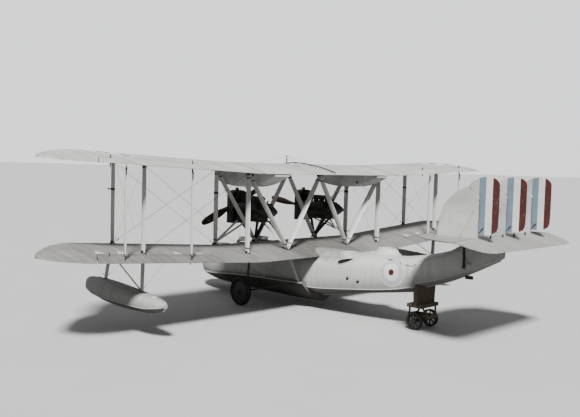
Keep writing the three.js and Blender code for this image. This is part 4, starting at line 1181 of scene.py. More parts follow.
def dress_floats():
    for side, s in SIDES.items():
        y0 = s * OUTER_Y
        bm, trim = bmesh.new(), bmesh.new()
        rings = []
        for x in spread(FLOAT[0][0], FLOAT[-1][0], 0.1):
            keel, chine, deck, half = row_at(FLOAT, x)
            tall = deck - chine
            right = [(0.0, keel)]
            right += [(half * t, keel + (chine - keel) * (t - 0.08 * sin(pi * t)))
                      for t in (0.25, 0.5, 0.75, 1.0)]
            knots = [(1.0, 0.0), (1.0, 0.3), (0.93, 0.62), (0.68, 0.87), (0.34, 0.97), (0.0, 1.0)]
            right += [(v.x * half, chine + v.z * tall)
                      for v in smooth_path([at(u, 0, w) for u, w in knots], 3)[1:]]
            rings.append(keeled_ring(x, y0, right))
        loft(bm, rings)
        piece(bm, f"float_skin_{side}", "float", replaces=[f"float_{side}"], sharp=30)
        xs = spread(-1.15, 3.14, 0.15)
        tube(trim, [at(x, y0, curve(FLOAT, x, 1) - 0.008) for x in xs], 0.016, 6)
        for e in (1, -1):
            tube(trim, [at(x, y0 + e * curve(FLOAT, x, 4), curve(FLOAT, x, 2)) for x in xs], 0.010, 6)
        for x in (-0.6, 0.9, 2.5):
            deck = curve(FLOAT, x, 3)
            turned(trim, [(0, 0.018), (0.06, 0.018), (0.075, 0.010), (0.085, -0.02)], at(x, y0, deck),
                   steps=20)
        piece(trim, f"float_trim_{side}", "hull_plain")
        fittings = bmesh.new()
        frame_paint = bmesh.new()
        for head_x, foot_x in FLOAT_LEGS:
            foot = at(foot_x, y0, curve(FLOAT, foot_x, 3) - 0.04)
            head = at(head_x, y0, skin("lower", head_x, y0, UNDER) + 0.03)
            strut(frame_paint, foot, head, 0.19, 0.06)
            for end, low, high in ((foot, 0.02, 0.055), (head, -0.065, -0.02)):
                block(fittings, end + at(-0.10, -0.05, low), end + at(0.10, 0.05, high), 0.008)
            way = (head - foot).normalized()
            for end in (foot + way * 0.085, head - way * 0.105):
                tube(fittings, [end - at(0, 0.045, 0), end + at(0, 0.045, 0)], 0.010, 6)
        start = FLOAT_LEGS[0][0]
        tube(fittings, [at(start, y0, skin("lower", start, y0, UNDER) - 0.06), at(0.07, y0, -0.895)], 0.017,
             10)
        piece(frame_paint, f"float_legs_{side}", "strut", replaces=[f"float_struts_{side}"])
        piece(fittings, f"float_fittings_{side}", "iron")


# Tail

FIN_FRONT = [(1.0, -6.44), (1.3, -6.45), (1.6, -6.51), (2.0, -6.64), (2.3, -6.86), (2.48, -7.09),
             (2.61, -7.34), (2.66, -7.48)]
RUDDER_FRONT = [(1.22, -7.90), (2.30, -7.90), (2.45, -7.72), (2.59, -7.52), (2.66, -7.515), (2.74, -7.54),
                (2.84, -7.66), (2.90, -7.80), (2.95, -8.05)]
RUDDER_REAR = [(1.22, -7.98), (1.235, -8.10), (1.275, -8.33), (1.37, -8.45), (1.50, -8.49), (2.0, -8.50),
               (2.70, -8.50), (2.83, -8.44), (2.92, -8.28), (2.95, -8.10)]
FIN_HALF, POST_R = 0.040, 0.040


def tail_reading(y, column):
    return curve(TAILPLANE, abs(y), column)


def tailplane_ring(y):
    lead, half = tail_reading(y, 1), tail_reading(y, 3)
    rear = TAIL_HINGE + 0.062 + RUNNING
    right = []
    for i in range(17):
        u = (i / 16) ** 2
        x = lead + (rear - lead) * u
        bulge = 1.0 if u > 0.35 else sqrt(max(0.0, 1 - (1 - u / 0.35) ** 2))
        taper = 1.0 - 0.1 * max(0.0, (u - 0.35) / 0.65)
        depth = bay_sag(y, 0.8) * sin(pi * u)
        right.append((x, half * bulge * taper - depth))
    top = [at(x, y, TAIL_Z + h) for x, h in right]
    under = [at(x, y, TAIL_Z - h) for x, h in reversed(right[1:])]
    return top + under


def elevator_ring(y):
    half, trail = tail_reading(y, 3), tail_reading(y, 2)
    depth = bay_sag(y, 0.6)
    nose = 0.88 * half
    outline = [(nose * cos(a), nose * sin(a)) for a in (QUARTER - pi * i / 10 for i in range(11))]
    length = trail - TAIL_HINGE
    for i in range(1, 8):
        t = i / 7
        outline.append((length * t, -(nose * (1 - t) + 0.004 * t) + depth * sin(pi * t)))
    for i in range(7, 0, -1):
        t = i / 7
        outline.append((length * t, nose * (1 - t) + 0.004 * t - depth * sin(pi * t)))
    c, s = cos(DROOP), sin(DROOP)
    return [at(TAIL_HINGE + c * x - s * z, y, TAIL_Z + s * x + c * z) for x, z in outline]


def blade_ring(z, y, front, rear, nose, tail_half=0.008, sag=0.0, count=12):
    """Level ring of a thin upright surface: round in front, full at the post, fine behind."""
    right = []
    for i in range(count + 1):
        u = (i / count) ** 1.6
        x = front + (rear - front) * u
        from_post = (x - POST_X) / 1.5 if x > POST_X else (POST_X - x) / 0.62
        full = FIN_HALF - (FIN_HALF - (0.012 if x > POST_X else tail_half)) * min(1.0, max(0.0, from_post))
        round_off = sqrt(max(0.0, 1 - (1 - min(1.0, abs(x - front) / nose)) ** 2)) if nose else 1.0
        right.append((x, full * round_off - sag * sin(pi * u)))
    return ([at(x, y + h, z) for x, h in right] + [at(x, y - h, z) for x, h in reversed(right[1:])])


def fin_rear(z):
    stop = POST_X + POST_R + RUNNING
    return stop if z < 2.29 else stop + min(z - 2.29, 0.27) / 0.27 * (-7.50 - stop)


def dress_tail():
    ys = sorted({round(s * y, 4) for s in (1, -1) for y in [*spread(0, 2.94, rib_step()), 2.952]})
    bm = bmesh.new()
    loft(bm, [tailplane_ring(y) for y in ys])
    for s in (1, -1):
        for y in (0.95, 2.34):
            for off in (-0.014, 0.014):
                block(bm, (TAIL_HINGE + 0.060, s * y + off - 0.003, TAIL_Z - 0.02),
                      (TAIL_HINGE + 0.09, s * y + off + 0.003, TAIL_Z + 0.02), 0.001)
    piece(bm, "tailplane_skin", "linen_tail", replaces=["tailplane"], sharp=50)
    bm = bmesh.new()
    loft(bm, [elevator_ring(y) for y in ys])
    piece(bm, "elevator_skin", "linen_tail", "elevator", ["elevator"], sharp=50)
    for name, y in (("port", SIDE_FIN), ("centre", 0.0), ("stbd", -SIDE_FIN)):
        bm = bmesh.new()
        levels = [*spread(1.04 if y else 1.03, 2.28, rib_step()), 2.29, 2.36, 2.42, 2.48, 2.54, 2.58, 2.62,
                  2.645]
        rings = []
        for z in levels:
            front, rear = curve(FIN_FRONT, z, 1), fin_rear(z)
            rings.append(blade_ring(z, y, front, rear, 0.09, sag=bay_sag(z, 0.3)))
        loft(bm, rings)
        for z in (1.35, 2.15):
            for off in (-0.010, 0.010):
                block(bm, (POST_X + POST_R + 0.0015, y + off - 0.003, z - 0.024),
                      (POST_X + POST_R + RUNNING + 0.02, y + off + 0.003, z + 0.024), 0.001)
        piece(bm, f"fin_{name}_skin", "linen_fin", replaces=[f"fin_{name}"], sharp=50)
        bm = bmesh.new()
        rings = []
        for z in [1.222, 1.228, 1.24, 1.26, 1.30, *spread(1.35, 2.28, rib_step()), 2.295, 2.31, 2.36, 2.42,
                  2.48, 2.54, 2.59, 2.64, 2.70, 2.76, 2.82, 2.87, 2.91, 2.935, 2.948]:
            post = z < 2.305
            front = POST_X + POST_R - 0.001 if post else curve(RUDDER_FRONT, z, 1)
            rings.append(blade_ring(z, y, front, curve(RUDDER_REAR, z, 1), POST_R if post else 0.05,
                                    sag=bay_sag(z, 0.25), count=14))
        loft(bm, rings)
        piece(bm, f"rudder_{name}_skin", "stripes", f"rudder_{name}", [f"rudder_{name}"],
              sharp=50)
    for side, s in SIDES.items():
        bm, fittings = bmesh.new(), bmesh.new()
        foot, head = at(-6.61, s * 0.30, -0.10), at(-7.30, s * 1.50, TAIL_Z - 0.04)
        strut(bm, foot, head, 0.090, 0.042)
        for share in (0.14, 0.92):
            band(fittings, foot, head, share, 0.09, 0.042, 0.035)
        turned(fittings, [(0, 0.02), (0.05, 0.02), (0.06, 0.0), (0.06, -0.02)], head + at(0, 0, -0.012),
               "z", 14)
        for off in (-0.05, 0.05):
            y = hull_half_width(-6.65 + off, 0.0)
            tube(fittings, [foot.lerp(head, 0.17), at(-6.65 + off, s * y, -0.035)], 0.012, 8)
        piece(bm, f"tail_leg_{side}", "iron", replaces=[f"tail_struts_{side}"])
        piece(fittings, f"tail_leg_fittings_{side}", "iron")


# Struts between the wings

def strut_seat(bm, level, x, y, column, size=(0.125, 0.055)):
    """Plate and lugs where a strut meets a wing."""
    z = skin(level, x, y, column)
    way = 1 if column == TOP else -1
    turned(bm, [(0, way * 0.012), (0.095, way * 0.012), (0.11, way * 0.004), (0.115, -way * 0.02)],
           at(x, y, z), steps=20)
    for off in (-1, 1):
        low, high = sorted((z - way * 0.01, z + way * 0.085))
        block(bm, (x - size[0] / 2, y + off * 0.038 - 0.003, low),
              (x + size[0] / 2, y + off * 0.038 + 0.003, high), 0.002)
    tube(bm, [at(x, y - size[1], z + way * 0.055), at(x, y + size[1], z + way * 0.055)], 0.012, 8)


def dress_struts():
    for side, s in SIDES.items():
        fittings = bmesh.new()
        for name, x in (("front", FRONT_SPAR), ("rear", REAR_SPAR)):
            bm, y = bmesh.new(), s * OUTER_Y
            low, high = at(x, y, skin("lower", x, y, TOP) - 0.02), at(x, y, skin("upper", x, y, UNDER) + 0.02)
            strut(bm, low, high, 0.220, 0.066)
            piece(bm, f"outer_{name}_strut_{side}", "strut", replaces=[f"outer_strut_{name}_{side}"])
            strut_seat(fittings, "lower", x, y, TOP)
            strut_seat(fittings, "upper", x, y, UNDER)
            if name == "front":
                band(fittings, low, high, (2.20 - low.z) / (high.z - low.z), 0.22, 0.066, 0.07)
                if side == "port":
                    tube(fittings, smooth_path([(1.86, y, 2.20), (1.97, y, 2.20), (2.10, y, 2.205)], 3),
                         [0.020, 0.020, 0.020, 0.014, 0.014, 0.014, 0.010], 10)
                    tube(fittings, [(1.99, y, 2.15), (1.99, y, 2.26)], 0.011, 8)
        piece(fittings, f"outer_strut_fittings_{side}", "iron")
        dress_links(side, s)
    for name, x in (("front", FRONT_SPAR), ("rear", REAR_SPAR)):
        dress_truss(name, x)
    for side, s in SIDES.items():
        for name, x, foot_y, foot_z in (("front", FRONT_SPAR, 1.15, -1.30),
                                        ("rear", REAR_SPAR - 0.06, 1.11, -1.26)):
            bm = bmesh.new()
            head = at(x, s * VERTEX_Y, skin("lower", x, VERTEX_Y, UNDER) + 0.02)
            foot = at(x, s * foot_y, foot_z)
            strut(bm, head, foot, 0.150, 0.062)
            band(bm, head, foot, 0.10, 0.15, 0.062)
            band(bm, head, foot, 0.90, 0.15, 0.062)
            piece(bm, f"wing_to_hull_{name}_{side}", "strut", replaces=[f"hull_strut_{name}_{side}"])


def dress_links(side, s):
    """Light struts that tie each upper aileron to the lower one."""
    for name, y in LINKS.items():
        y *= s
        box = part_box(f"aileron_link_{name}_{side}")
        low, high = box[0].z - DATUM.z + 0.016, box[1].z - DATUM.z
        bm = bmesh.new()
        foot, eye = at(LINK_X, y, low), at(LINK_X, y, high)
        strut(bm, foot + at(0, 0, 0.10), eye - at(0, 0, 0.10), 0.130, 0.046, ends=0.55)
        ends = bmesh.new()
        tube(ends, [foot - at(0, 0.011, 0), foot + at(0, 0.011, 0)], 0.0158, 14)
        for end, way in ((foot, 1), (eye, -1)):
            tube(ends, [end, end + at(0, 0, way * 0.09)], 0.0085, 8)
            turned(ends, [(0.010, 0.05), (0.019, 0.055), (0.030, 0.10), (0.030, 0.15), (0.0, 0.16)], end,
                   at(0, 0, way), 12)
        piece(bm, f"link_{name}_{side}", "strut", f"aileron_links_{side}",
              [f"aileron_link_{name}_{side}"])
        piece(ends, f"link_ends_{name}_{side}", "iron", f"aileron_links_{side}")
        for level, column in (("lower", TOP), ("upper", UNDER)):
            seat = bmesh.new()
            z = skin(level, LINK_X, y, column)
            way = 1 if column == TOP else -1
            for off in (-0.0165, 0.0165):
                low_z, high_z = sorted((z - way * 0.012, z + way * (0.026 if column == TOP else 0.012)))
                block(seat, (LINK_X - 0.016, y + off - 0.0025, low_z),
                      (LINK_X + 0.016, y + off + 0.0025, high_z), 0.002)
            plate(seat, oval(0.05, 0.03, 14), 0.006, Matrix.Translation((LINK_X, y, z)), 0.001)
            piece(seat, f"link_seat_{name}_{level}_{side}", "iron", f"aileron_{level}_{side}")


def dress_truss(name, x):
    """The middle bay of one spar: uprights at its ends and a W of struts between."""
    wood, metal_parts = bmesh.new(), bmesh.new()
    foot, top = skin("lower", x, 0, TOP), skin("upper", x, 0, UNDER)
    members = []
    for s in SIDES.values():
        upright = s * INNER_Y
        vertex = at(x, s * VERTEX_Y, foot + 0.03)
        members.append((at(x, upright, foot - 0.02), at(x, upright, top + 0.02), 0.240, 0.072))
        members.append((vertex, at(x, upright - s * 0.02, top - 0.07), 0.245, 0.095))
        members.append((vertex, at(x, 0.0, top - 0.07), 0.245, 0.095))
        strut_seat(metal_parts, "lower", x, upright, TOP)
        strut_seat(metal_parts, "upper", x, upright, UNDER)
        gusset(metal_parts, at(x, s * VERTEX_Y, foot), 1)
        gusset(metal_parts, at(x, upright - s * 0.06, top), -1)
    gusset(metal_parts, at(x, 0.0, top), -1)
    for low, high, chord, thick in members:
        strut(wood, low, high, chord, thick, ends=0.78)
        for share in (0.07, 0.93):
            band(metal_parts, low, high, share, chord, thick, 0.04)
    for s in SIDES.values():
        low, high = at(x, s * INNER_Y, foot), at(x, s * INNER_Y, top)
        if name == "front":
            band(metal_parts, low, high, (2.04 - foot) / (top - foot), 0.25, 0.080, 0.085)
    piece(wood, f"spar_truss_{name}", "strut", replaces=[f"truss_{name}"])
    piece(metal_parts, f"spar_truss_fittings_{name}", "iron")


def gusset(bm, centre, way):
    """Pair of bolted plates that gather the struts at a joint."""
    shape = [(-0.17, 0.0), (-0.15, 0.10), (-0.05, 0.19), (0.05, 0.19), (0.15, 0.10), (0.17, 0.0)]
    for off in (-0.062, 0.062):
        place = Matrix.Translation(centre + at(off, 0, 0)) @ Matrix.Rotation(QUARTER, 4, "Z")
        place = place @ Matrix.Rotation(QUARTER * way, 4, "X")
        plate(bm, [(u * 0.8, w * 0.8) for u, w in shape], 0.007, place, 0.002)
        for u, w in ((-0.07, 0.04), (0.07, 0.04), (0.0, 0.10)):
            bolt(bm, centre + at(off + copysign(0.004, off), u, way * w), (copysign(1, off), 0, 0), 0.012)


# Engines

def dress_engines():
    for side, s in SIDES.items():
        y0 = s * ENGINE_Y
        dress_engine(side, y0)
        dress_radiator(side, y0)
        dress_mount(side, s)


def bank_matrix(y0, lean):
    """Stands a cylinder bank on the crankshaft's line, leaning sideways."""
    return Matrix.Translation((0, y0, CRANK_Z)) @ Matrix.Rotation(-lean, 4, "X")


def dress_engine(side, y0):
    dark, bright, pipes, leads = (bmesh.new() for _ in range(4))
    case = [(0.20, -0.30), (0.25, -0.26), (0.26, -0.05), (0.22, 0.12), (0.15, 0.25), (-0.15, 0.25),
            (-0.22, 0.12), (-0.26, -0.05), (-0.25, -0.26), (-0.20, -0.30)]
    plate(bright, case, 1.28, athwart(1.75, y0, CRANK_Z), 0.02)
    for x in (1.20, 1.55, 1.90, 2.25):
        plate(bright, [(u * 1.04, w * 1.03 + 0.003) for u, w in case], 0.035, athwart(x, y0, CRANK_Z), 0.006)
    for e in (1, -1):
        block(bright, (1.12, y0 + e * 0.235 - 0.055, 1.00), (2.38, y0 + e * 0.235 + 0.055, 1.045), 0.008)
        for x in spread(1.18, 2.32, 0.19):
            bolt(bright, at(x, y0 + e * 0.262, 1.045), (0, 0, 1), 0.016)
    for lean in (-60.0, 0.0, 60.0):
        tall = 0.62 if lean == 0 else 0.58
        place = bank_matrix(y0, radians(lean))
        for i in range(4):
            x = 1.255 + 0.315 * i
            for r, low, high in ((0.118, 0.20, 0.30), (0.108, 0.29, tall - 0.10)):
                turned(dark, [(0, low), (r, low), (r, high - 0.012), (r - 0.012, high), (0, high)],
                       at(x, 0, 0), "z", 20, place)
            for h in (0.34, 0.385, 0.43):
                turned(dark, [(0.104, h), (0.1145, h + 0.004), (0.1145, h + 0.012), (0.104, h + 0.016)],
                       at(x, 0, 0), "z", 20, place)
        block(dark, (1.13, -0.105, tall - 0.13), (2.37, 0.105, tall - 0.075), 0.014, place)
        block(dark, (1.12, -0.062, tall - 0.08), (2.38, 0.062, tall - 0.005), 0.026, place)
        for i in range(9):
            for e in (-1, 1):
                x = 1.17 + 0.145 * i
                bolt(dark, place @ at(x, e * 0.084, tall - 0.075), place.to_3x3() @ at(0, 0, 1), 0.010)
        for x in (1.15, 2.35):
            turned(bright, [(0, -0.02), (0.050, -0.02), (0.056, -0.01), (0.056, 0.01), (0.050, 0.02),
                            (0, 0.02)], at(x, 0, tall - 0.05), "x", 16, place)
        outer = 1 if lean > 0 else -1
        for i in range(4):
            x = 1.255 + 0.315 * i
            e = outer if lean else 1
            start = place @ at(x, -e * 0.095, tall - 0.17)
            turn = place @ at(x - 0.02, -e * 0.145, tall - 0.15)
            ends = turn + at(-0.03, -e * 0.02, 0.085) if lean == 0 else turn + at(-0.05, 0.0, 0.10)
            tube(pipes, smooth_path([start, turn, ends], 4), 0.030, 12)
            for plug in (-0.07, 0.07):
                spark = place @ at(x + plug, e * 0.100, tall - 0.19)
                tube(leads, [spark, spark + place.to_3x3() @ at(0, e * 0.035, 0)], 0.010, 8)
                down = place @ at(x + plug * 0.6, e * 0.155, tall - 0.30)
                tube(leads, smooth_path([spark + place.to_3x3() @ at(0, e * 0.035, 0), down, place
                                         @ at(x, e * 0.150, tall - 0.36)], 4), 0.0045, 6)
        e = outer if lean else 1
        tube(leads, [place @ at(1.14, e * 0.15, tall - 0.37), place @ at(2.36, e * 0.15, tall - 0.37)],
             0.017, 10)
        low_pipe = [place @ at(1.16, -e * 0.135, 0.27), place @ at(2.36, -e * 0.135, 0.27)]
        tube(bright, low_pipe, 0.024, 10)
        for i in range(4):
            x = 1.255 + 0.315 * i
            tube(bright, [place @ at(x, -e * 0.135, 0.27), place @ at(x, -e * 0.10, 0.30)], 0.019, 8)
    for e in (-1, 1):
        place = bank_matrix(y0, radians(e * 30))
        for x in (1.40, 2.05):
            for low, high, r in ((0.24, 0.34, 0.055), (0.34, 0.42, 0.045)):
                turned(bright, [(0, low), (r, low), (r * 1.1, low + 0.02), (r, high), (0, high)],
                       at(x, 0, 0), "z", 16, place)
            for reach in (-0.16, 0.16):
                tube(bright, smooth_path([place @ at(x, 0, 0.36), place @ at(x + reach * 0.6, 0, 0.40),
                                          place @ at(x + reach, e * 0.05, 0.41)], 4), 0.026, 10)
    turned(bright, [(0, 2.28), (0.16, 2.28), (0.25, 2.30), (0.26, 2.36), (0.20, 2.41), (0.145, 2.46),
                    (0.140, 2.80), (0.128, 2.84), (0.128, 2.878), (0, 2.878)], at(0, y0, THRUST_Z), "x", 32)
    bolt_circle(bright, at(2.36, y0, THRUST_Z), (1, 0, 0), 0.235, 12, 0.014)
    turned(dark, [(0, 0.385), (0.055, 0.385), (0.072, 0.41), (0.15, 0.53), (0.22, 0.68), (0.255, 0.84),
                  (0.268, 0.97), (0.268, 1.11), (0, 1.11)], at(0, y0, CRANK_Z + 0.06), "x", 32)
    for x, r in ((0.70, 0.232), (1.05, 0.271)):
        turned(bright, [(r - 0.01, x - 0.02), (r + 0.004, x - 0.02), (r + 0.006, x), (r + 0.008, x + 0.02),
                        (r - 0.01, x + 0.02)], at(0, y0, CRANK_Z + 0.06), "x", 32)
    for e in (-1, 1):
        block(bright, (1.02, y0 + e * 0.20 - 0.055, CRANK_Z + 0.22),
              (1.16, y0 + e * 0.20 + 0.055, CRANK_Z + 0.34), 0.015)
        turned(leads, [(0, 0.90), (0.050, 0.90), (0.058, 0.93), (0.058, 1.02), (0, 1.02)],
               at(0, y0 + e * 0.20, CRANK_Z + 0.28), "x", 16)
        tube(bright, smooth_path([at(1.14, y0 + e * 0.24, CRANK_Z - 0.14),
                                  at(0.98, y0 + e * 0.33, CRANK_Z - 0.18),
                                  at(0.90, y0 + e * 0.25, CRANK_Z - 0.10)], 5), 0.014, 8)
    turned(bright, [(0, 0.0), (0.042, 0.0), (0.042, 0.03), (0.02, 0.045), (0, 0.045)],
           at(0.86, y0, CRANK_Z + 0.315), steps=14)
    slot, node = "engine_metal", f"engine_{side}"
    piece(dark, f"engine_banks_{side}", "enamel", replaces=[node])
    piece(bright, f"engine_case_{side}", "casting")
    piece(pipes, f"engine_exhausts_{side}", "exhaust")
    piece(leads, f"engine_ignition_{side}", "brass_dark")


def merge(target, part):
    """Moves one bmesh's shape into another."""
    mesh = bpy.data.meshes.new("part")
    part.to_mesh(mesh)
    part.free()
    target.from_mesh(mesh)
    bpy.data.meshes.remove(mesh)


def arch(half, low, shoulder, top, count=20):
    """Outline of a radiator: square below, a flat arch above."""
    crown = [(half * cos(pi * i / count), shoulder + (top - shoulder) * sin(pi * i / count))
             for i in range(count + 1)]
    return [(-half, low), (half, low), *crown]


def dress_radiator(side, y0):
    shell, core, trim = bmesh.new(), bmesh.new(), bmesh.new()
    outer, inner = arch(0.36, 0.82, 1.96, 2.11), arch(0.318, 0.868, 1.935, 2.058)
    rings = []
    for x, outline in ((2.452, inner), (2.452, outer), (2.808, outer), (2.808, inner)):
        rings.append([at(x, y0 + u, w) for u, w in outline])
    loft(shell, rings, closed=True)
    edges = [e for e in shell.edges if len(e.link_faces) == 2 and e.calc_face_angle(0) > 1.0]
    bmesh.ops.bevel(shell, geom=edges, offset=0.008, segments=2, affect="EDGES", profile=0.5, material=-1)
    turned(shell, [(0.147, 2.455), (0.162, 2.455), (0.162, 2.812), (0.147, 2.812), (0.147, 2.455)],
           at(0, y0, THRUST_Z), "x", 32)
    for x in (2.475, 2.785):
        place = athwart(x, y0, 0)
        slab = bmesh.new()
        plate(slab, inner, 0.012, place)
        cutter = bmesh.new()
        turned(cutter, [(0, x - 0.1), (0.155, x - 0.1), (0.155, x + 0.1), (0, x + 0.1)],
               at(0, y0, THRUST_Z), "x", 32)
        merge(core, carve(slab, [cutter]))
    for k in range(-8, 9):
        u = k * 0.0375
        top = 1.935 + 0.123 * sqrt(max(0.0, 1 - (u / 0.318) ** 2)) - 0.01
        gaps = [(0.875, top)] if abs(u) > 0.165 else [
            (0.875, THRUST_Z - sqrt(0.168 ** 2 - u * u)), (THRUST_Z + sqrt(0.168 ** 2 - u * u), top)]
        for low, high in gaps:
            place = Matrix.Translation((2.798, y0 + u, 0)) @ Matrix.Rotation(radians(35), 4, "Z")
            block(trim, (-0.0015, -0.016, low), (0.0015, 0.016, high), 0.0, place)
            tube(trim, [at(2.798, y0 + u, low), at(2.798, y0 + u, high)], 0.004, 6)
    tube(trim, [at(2.812, y0 - 0.31, 1.20), at(2.812, y0 + 0.31, 1.20)], 0.006, 6)
    for e in (-1, 1):
        for z in (1.0, 1.45, 1.9):
            block(trim, (2.46, y0 + e * 0.36 - 0.006, z - 0.03), (2.80, y0 + e * 0.36 + 0.006, z + 0.03),
                  0.003)
            for x in (2.50, 2.63, 2.76):
                bolt(trim, at(x, y0 + e * 0.366, z), (0, e, 0), 0.011)
        tube(trim, smooth_path([at(2.47, y0 + e * 0.25, 0.94), at(2.38, y0 + e * 0.27, 0.93),
                                at(2.30, y0 + e * 0.27, 1.02)], 5), 0.032, 12)
    tube(trim, smooth_path([at(2.48, y0, 2.03), at(2.40, y0, 2.02), at(2.33, y0, 1.93)], 5), 0.034, 12)
    turned(trim, [(0, 2.06), (0.068, 2.06), (0.072, 2.12), (0.070, 2.165), (0.076, 2.168), (0.076, 2.184),
                  (0.045, 2.203), (0, 2.204)], at(2.63, y0, 0), steps=24)
    piece(shell, f"radiator_shell_{side}", "shell", replaces=[f"radiator_{side}"])
    piece(core, f"radiator_core_{side}", "core")
    piece(trim, f"radiator_shutters_{side}", "iron")


def dress_mount(side, s):
    bm, outer, fittings = bmesh.new(), bmesh.new(), bmesh.new()
    top = CRANK_Z - 0.3005
    for offset in (-0.17, 0.17):
        y = s * ENGINE_Y + offset
        block(bm, (0.90, y - 0.03, top - 0.06), (2.448, y + 0.03, top), 0.008)
        for foot_x, head_x in ((FRONT_SPAR, 2.30), (FRONT_SPAR, 1.25), (REAR_SPAR, 0.96)):
            foot = at(foot_x, s * VERTEX_Y, skin("lower", foot_x, 0, TOP) + 0.07)
            head = at(head_x, y, top - 0.03)
            if foot_x == REAR_SPAR:
                tube(outer, [foot, head], 0.027, 12)
                turned(fittings, [(0.0, -0.055), (0.035, -0.055), (0.037, 0.055), (0.0, 0.055)],
                       head.lerp(foot, 0.07), (head - foot).normalized(), 12)
            else:
                strut(bm, foot, head, 0.125, 0.055)
                band(fittings, foot, head, 0.93, 0.125, 0.055, 0.06)
    for head_x in (2.33, 1.80):
        foot = at(FRONT_SPAR, s * (INNER_Y - 0.01), skin("lower", FRONT_SPAR, 0, TOP) + 0.09)
        strut(outer, foot, at(head_x, s * (ENGINE_Y + 0.17), top - 0.03), 0.150, 0.055)
    for x in (0.94, 1.70, 2.388):
        block(bm, (x - 0.025, s * ENGINE_Y - 0.17, top - 0.05),
              (x + 0.025, s * ENGINE_Y + 0.17, top - 0.01), 0.006)
    for e in (-1, 1):
        for x in spread(1.18, 2.32, 0.19):
            bolt(fittings, at(x, s * ENGINE_Y + e * 0.17, top - 0.06), (0, 0, -1), 0.015)
    # The bearers and the struts under the engine take the dark iron paint, which also serves as painted shade
    # for the engine's shadow over them.
    piece(bm, f"engine_bearers_{side}", "iron", replaces=[f"engine_mount_{side}"])
    piece(outer, f"engine_stays_{side}", "strut")
    piece(fittings, f"bearer_fittings_{side}", "iron")


BLADE = [(0.05, 0.160, 0.120, 60.0), (0.32, 0.210, 0.085, 46.0), (0.80, 0.310, 0.052, 30.0),
         (1.25, 0.290, 0.032, 21.0), (1.50, 0.200, 0.020, 18.0), (1.585, 0.105, 0.012, 17.0),
         (1.60, 0.03, 0.006, 17.0)]


def dress_propellers():
    for side, s in SIDES.items():
        wood, plates, tips = bmesh.new(), bmesh.new(), bmesh.new()
        for turn in (1, -1):
            rings, tip_rings = [], []
            radii = sorted(set(spread(0.05, 1.5, 0.075) + [1.54, 1.57, 1.585, 1.595, 1.60]))
            for r in radii:
                chord, thick, pitch = row_at(BLADE, r)
                a = radians(pitch)
                ring, shell = [], []
                for k in range(18):
                    t = tau * k / 18
                    u = 0.5 * cos(t)
                    v = sin(t) * (0.5 if sin(t) > 0 else 0.28) * (1 - 0.22 * cos(t))
                    for out, grow in ((ring, 0.0), (shell, 0.0025)):
                        cu, cv = u * (chord + 2 * grow), v * (thick + 3 * grow)
                        out.append(at(2.97 + cu * sin(a) + cv * cos(a), turn * r,
                                      turn * (cu * cos(a) - cv * sin(a))))
                rings.append(ring)
                if r > 1.18:
                    tip_rings.append(shell)
            loft(wood, rings)
            loft(tips, tip_rings)
        turned(wood, [(0, 2.884), (0.135, 2.884), (0.15, 2.90), (0.15, 3.00), (0.135, 3.02), (0, 3.02)],
               at(0, 0, 0), "x", 32)
        turned(plates, [(0, 3.018), (0.118, 3.018), (0.118, 3.030), (0.060, 3.034), (0.052, 3.085),
                        (0.030, 3.125), (0, 3.127)], at(0, 0, 0), "x", 28)
        bolt_circle(plates, at(3.029, 0, 0), (1, 0, 0), 0.092, 8, 0.014)
        turn = Matrix.Rotation(radians(BLADE_TILT[side]), 4, "X")
        turn = Matrix.Translation((0, s * ENGINE_Y, THRUST_Z)) @ turn
        for bm in (wood, plates, tips):
            bmesh.ops.transform(bm, matrix=turn, verts=bm.verts)
        body = f"propeller_{side}"
        piece(wood, f"airscrew_{side}", "varnish", body, [body], sharp=50)
        piece(plates, f"airscrew_boss_{side}", "steel", body)
        piece(tips, f"airscrew_sheathing_{side}", "brass_dark", body, sharp=50)


TANK_TOP = [(-0.84, 2.79), (-0.6, 2.81), (1.9, 2.995), (2.20, 2.93), (2.40, 2.83), (2.485, 2.73)]
TANK_BELLY = [(-0.84, 2.72), (-0.6, 2.60), (-0.15, 2.42), (0.5, 2.31), (1.2, 2.30), (1.8, 2.36),
              (2.25, 2.49), (2.43, 2.62), (2.485, 2.72)]


def tank_section(x, half, soft=0.07, grow=0.0):
    """Ring of a tank at x: flat sides with rounded corners, in y and z about the tank's middle."""
    low, high = curve(TANK_BELLY, x, 1) - grow, curve(TANK_TOP, x, 1) + grow
    half += grow
    r = min(soft, (high - low) / 2 * 0.98)
    points = []
    for cy, cz, first in ((half - r, high - r, 0), (-half + r, high - r, 1), (-half + r, low + r, 2),
                          (half - r, low + r, 3)):
        for k in range(5):
            a = QUARTER * (first + k / 4)
            points.append((cy + r * cos(a), cz + r * sin(a)))
    return points


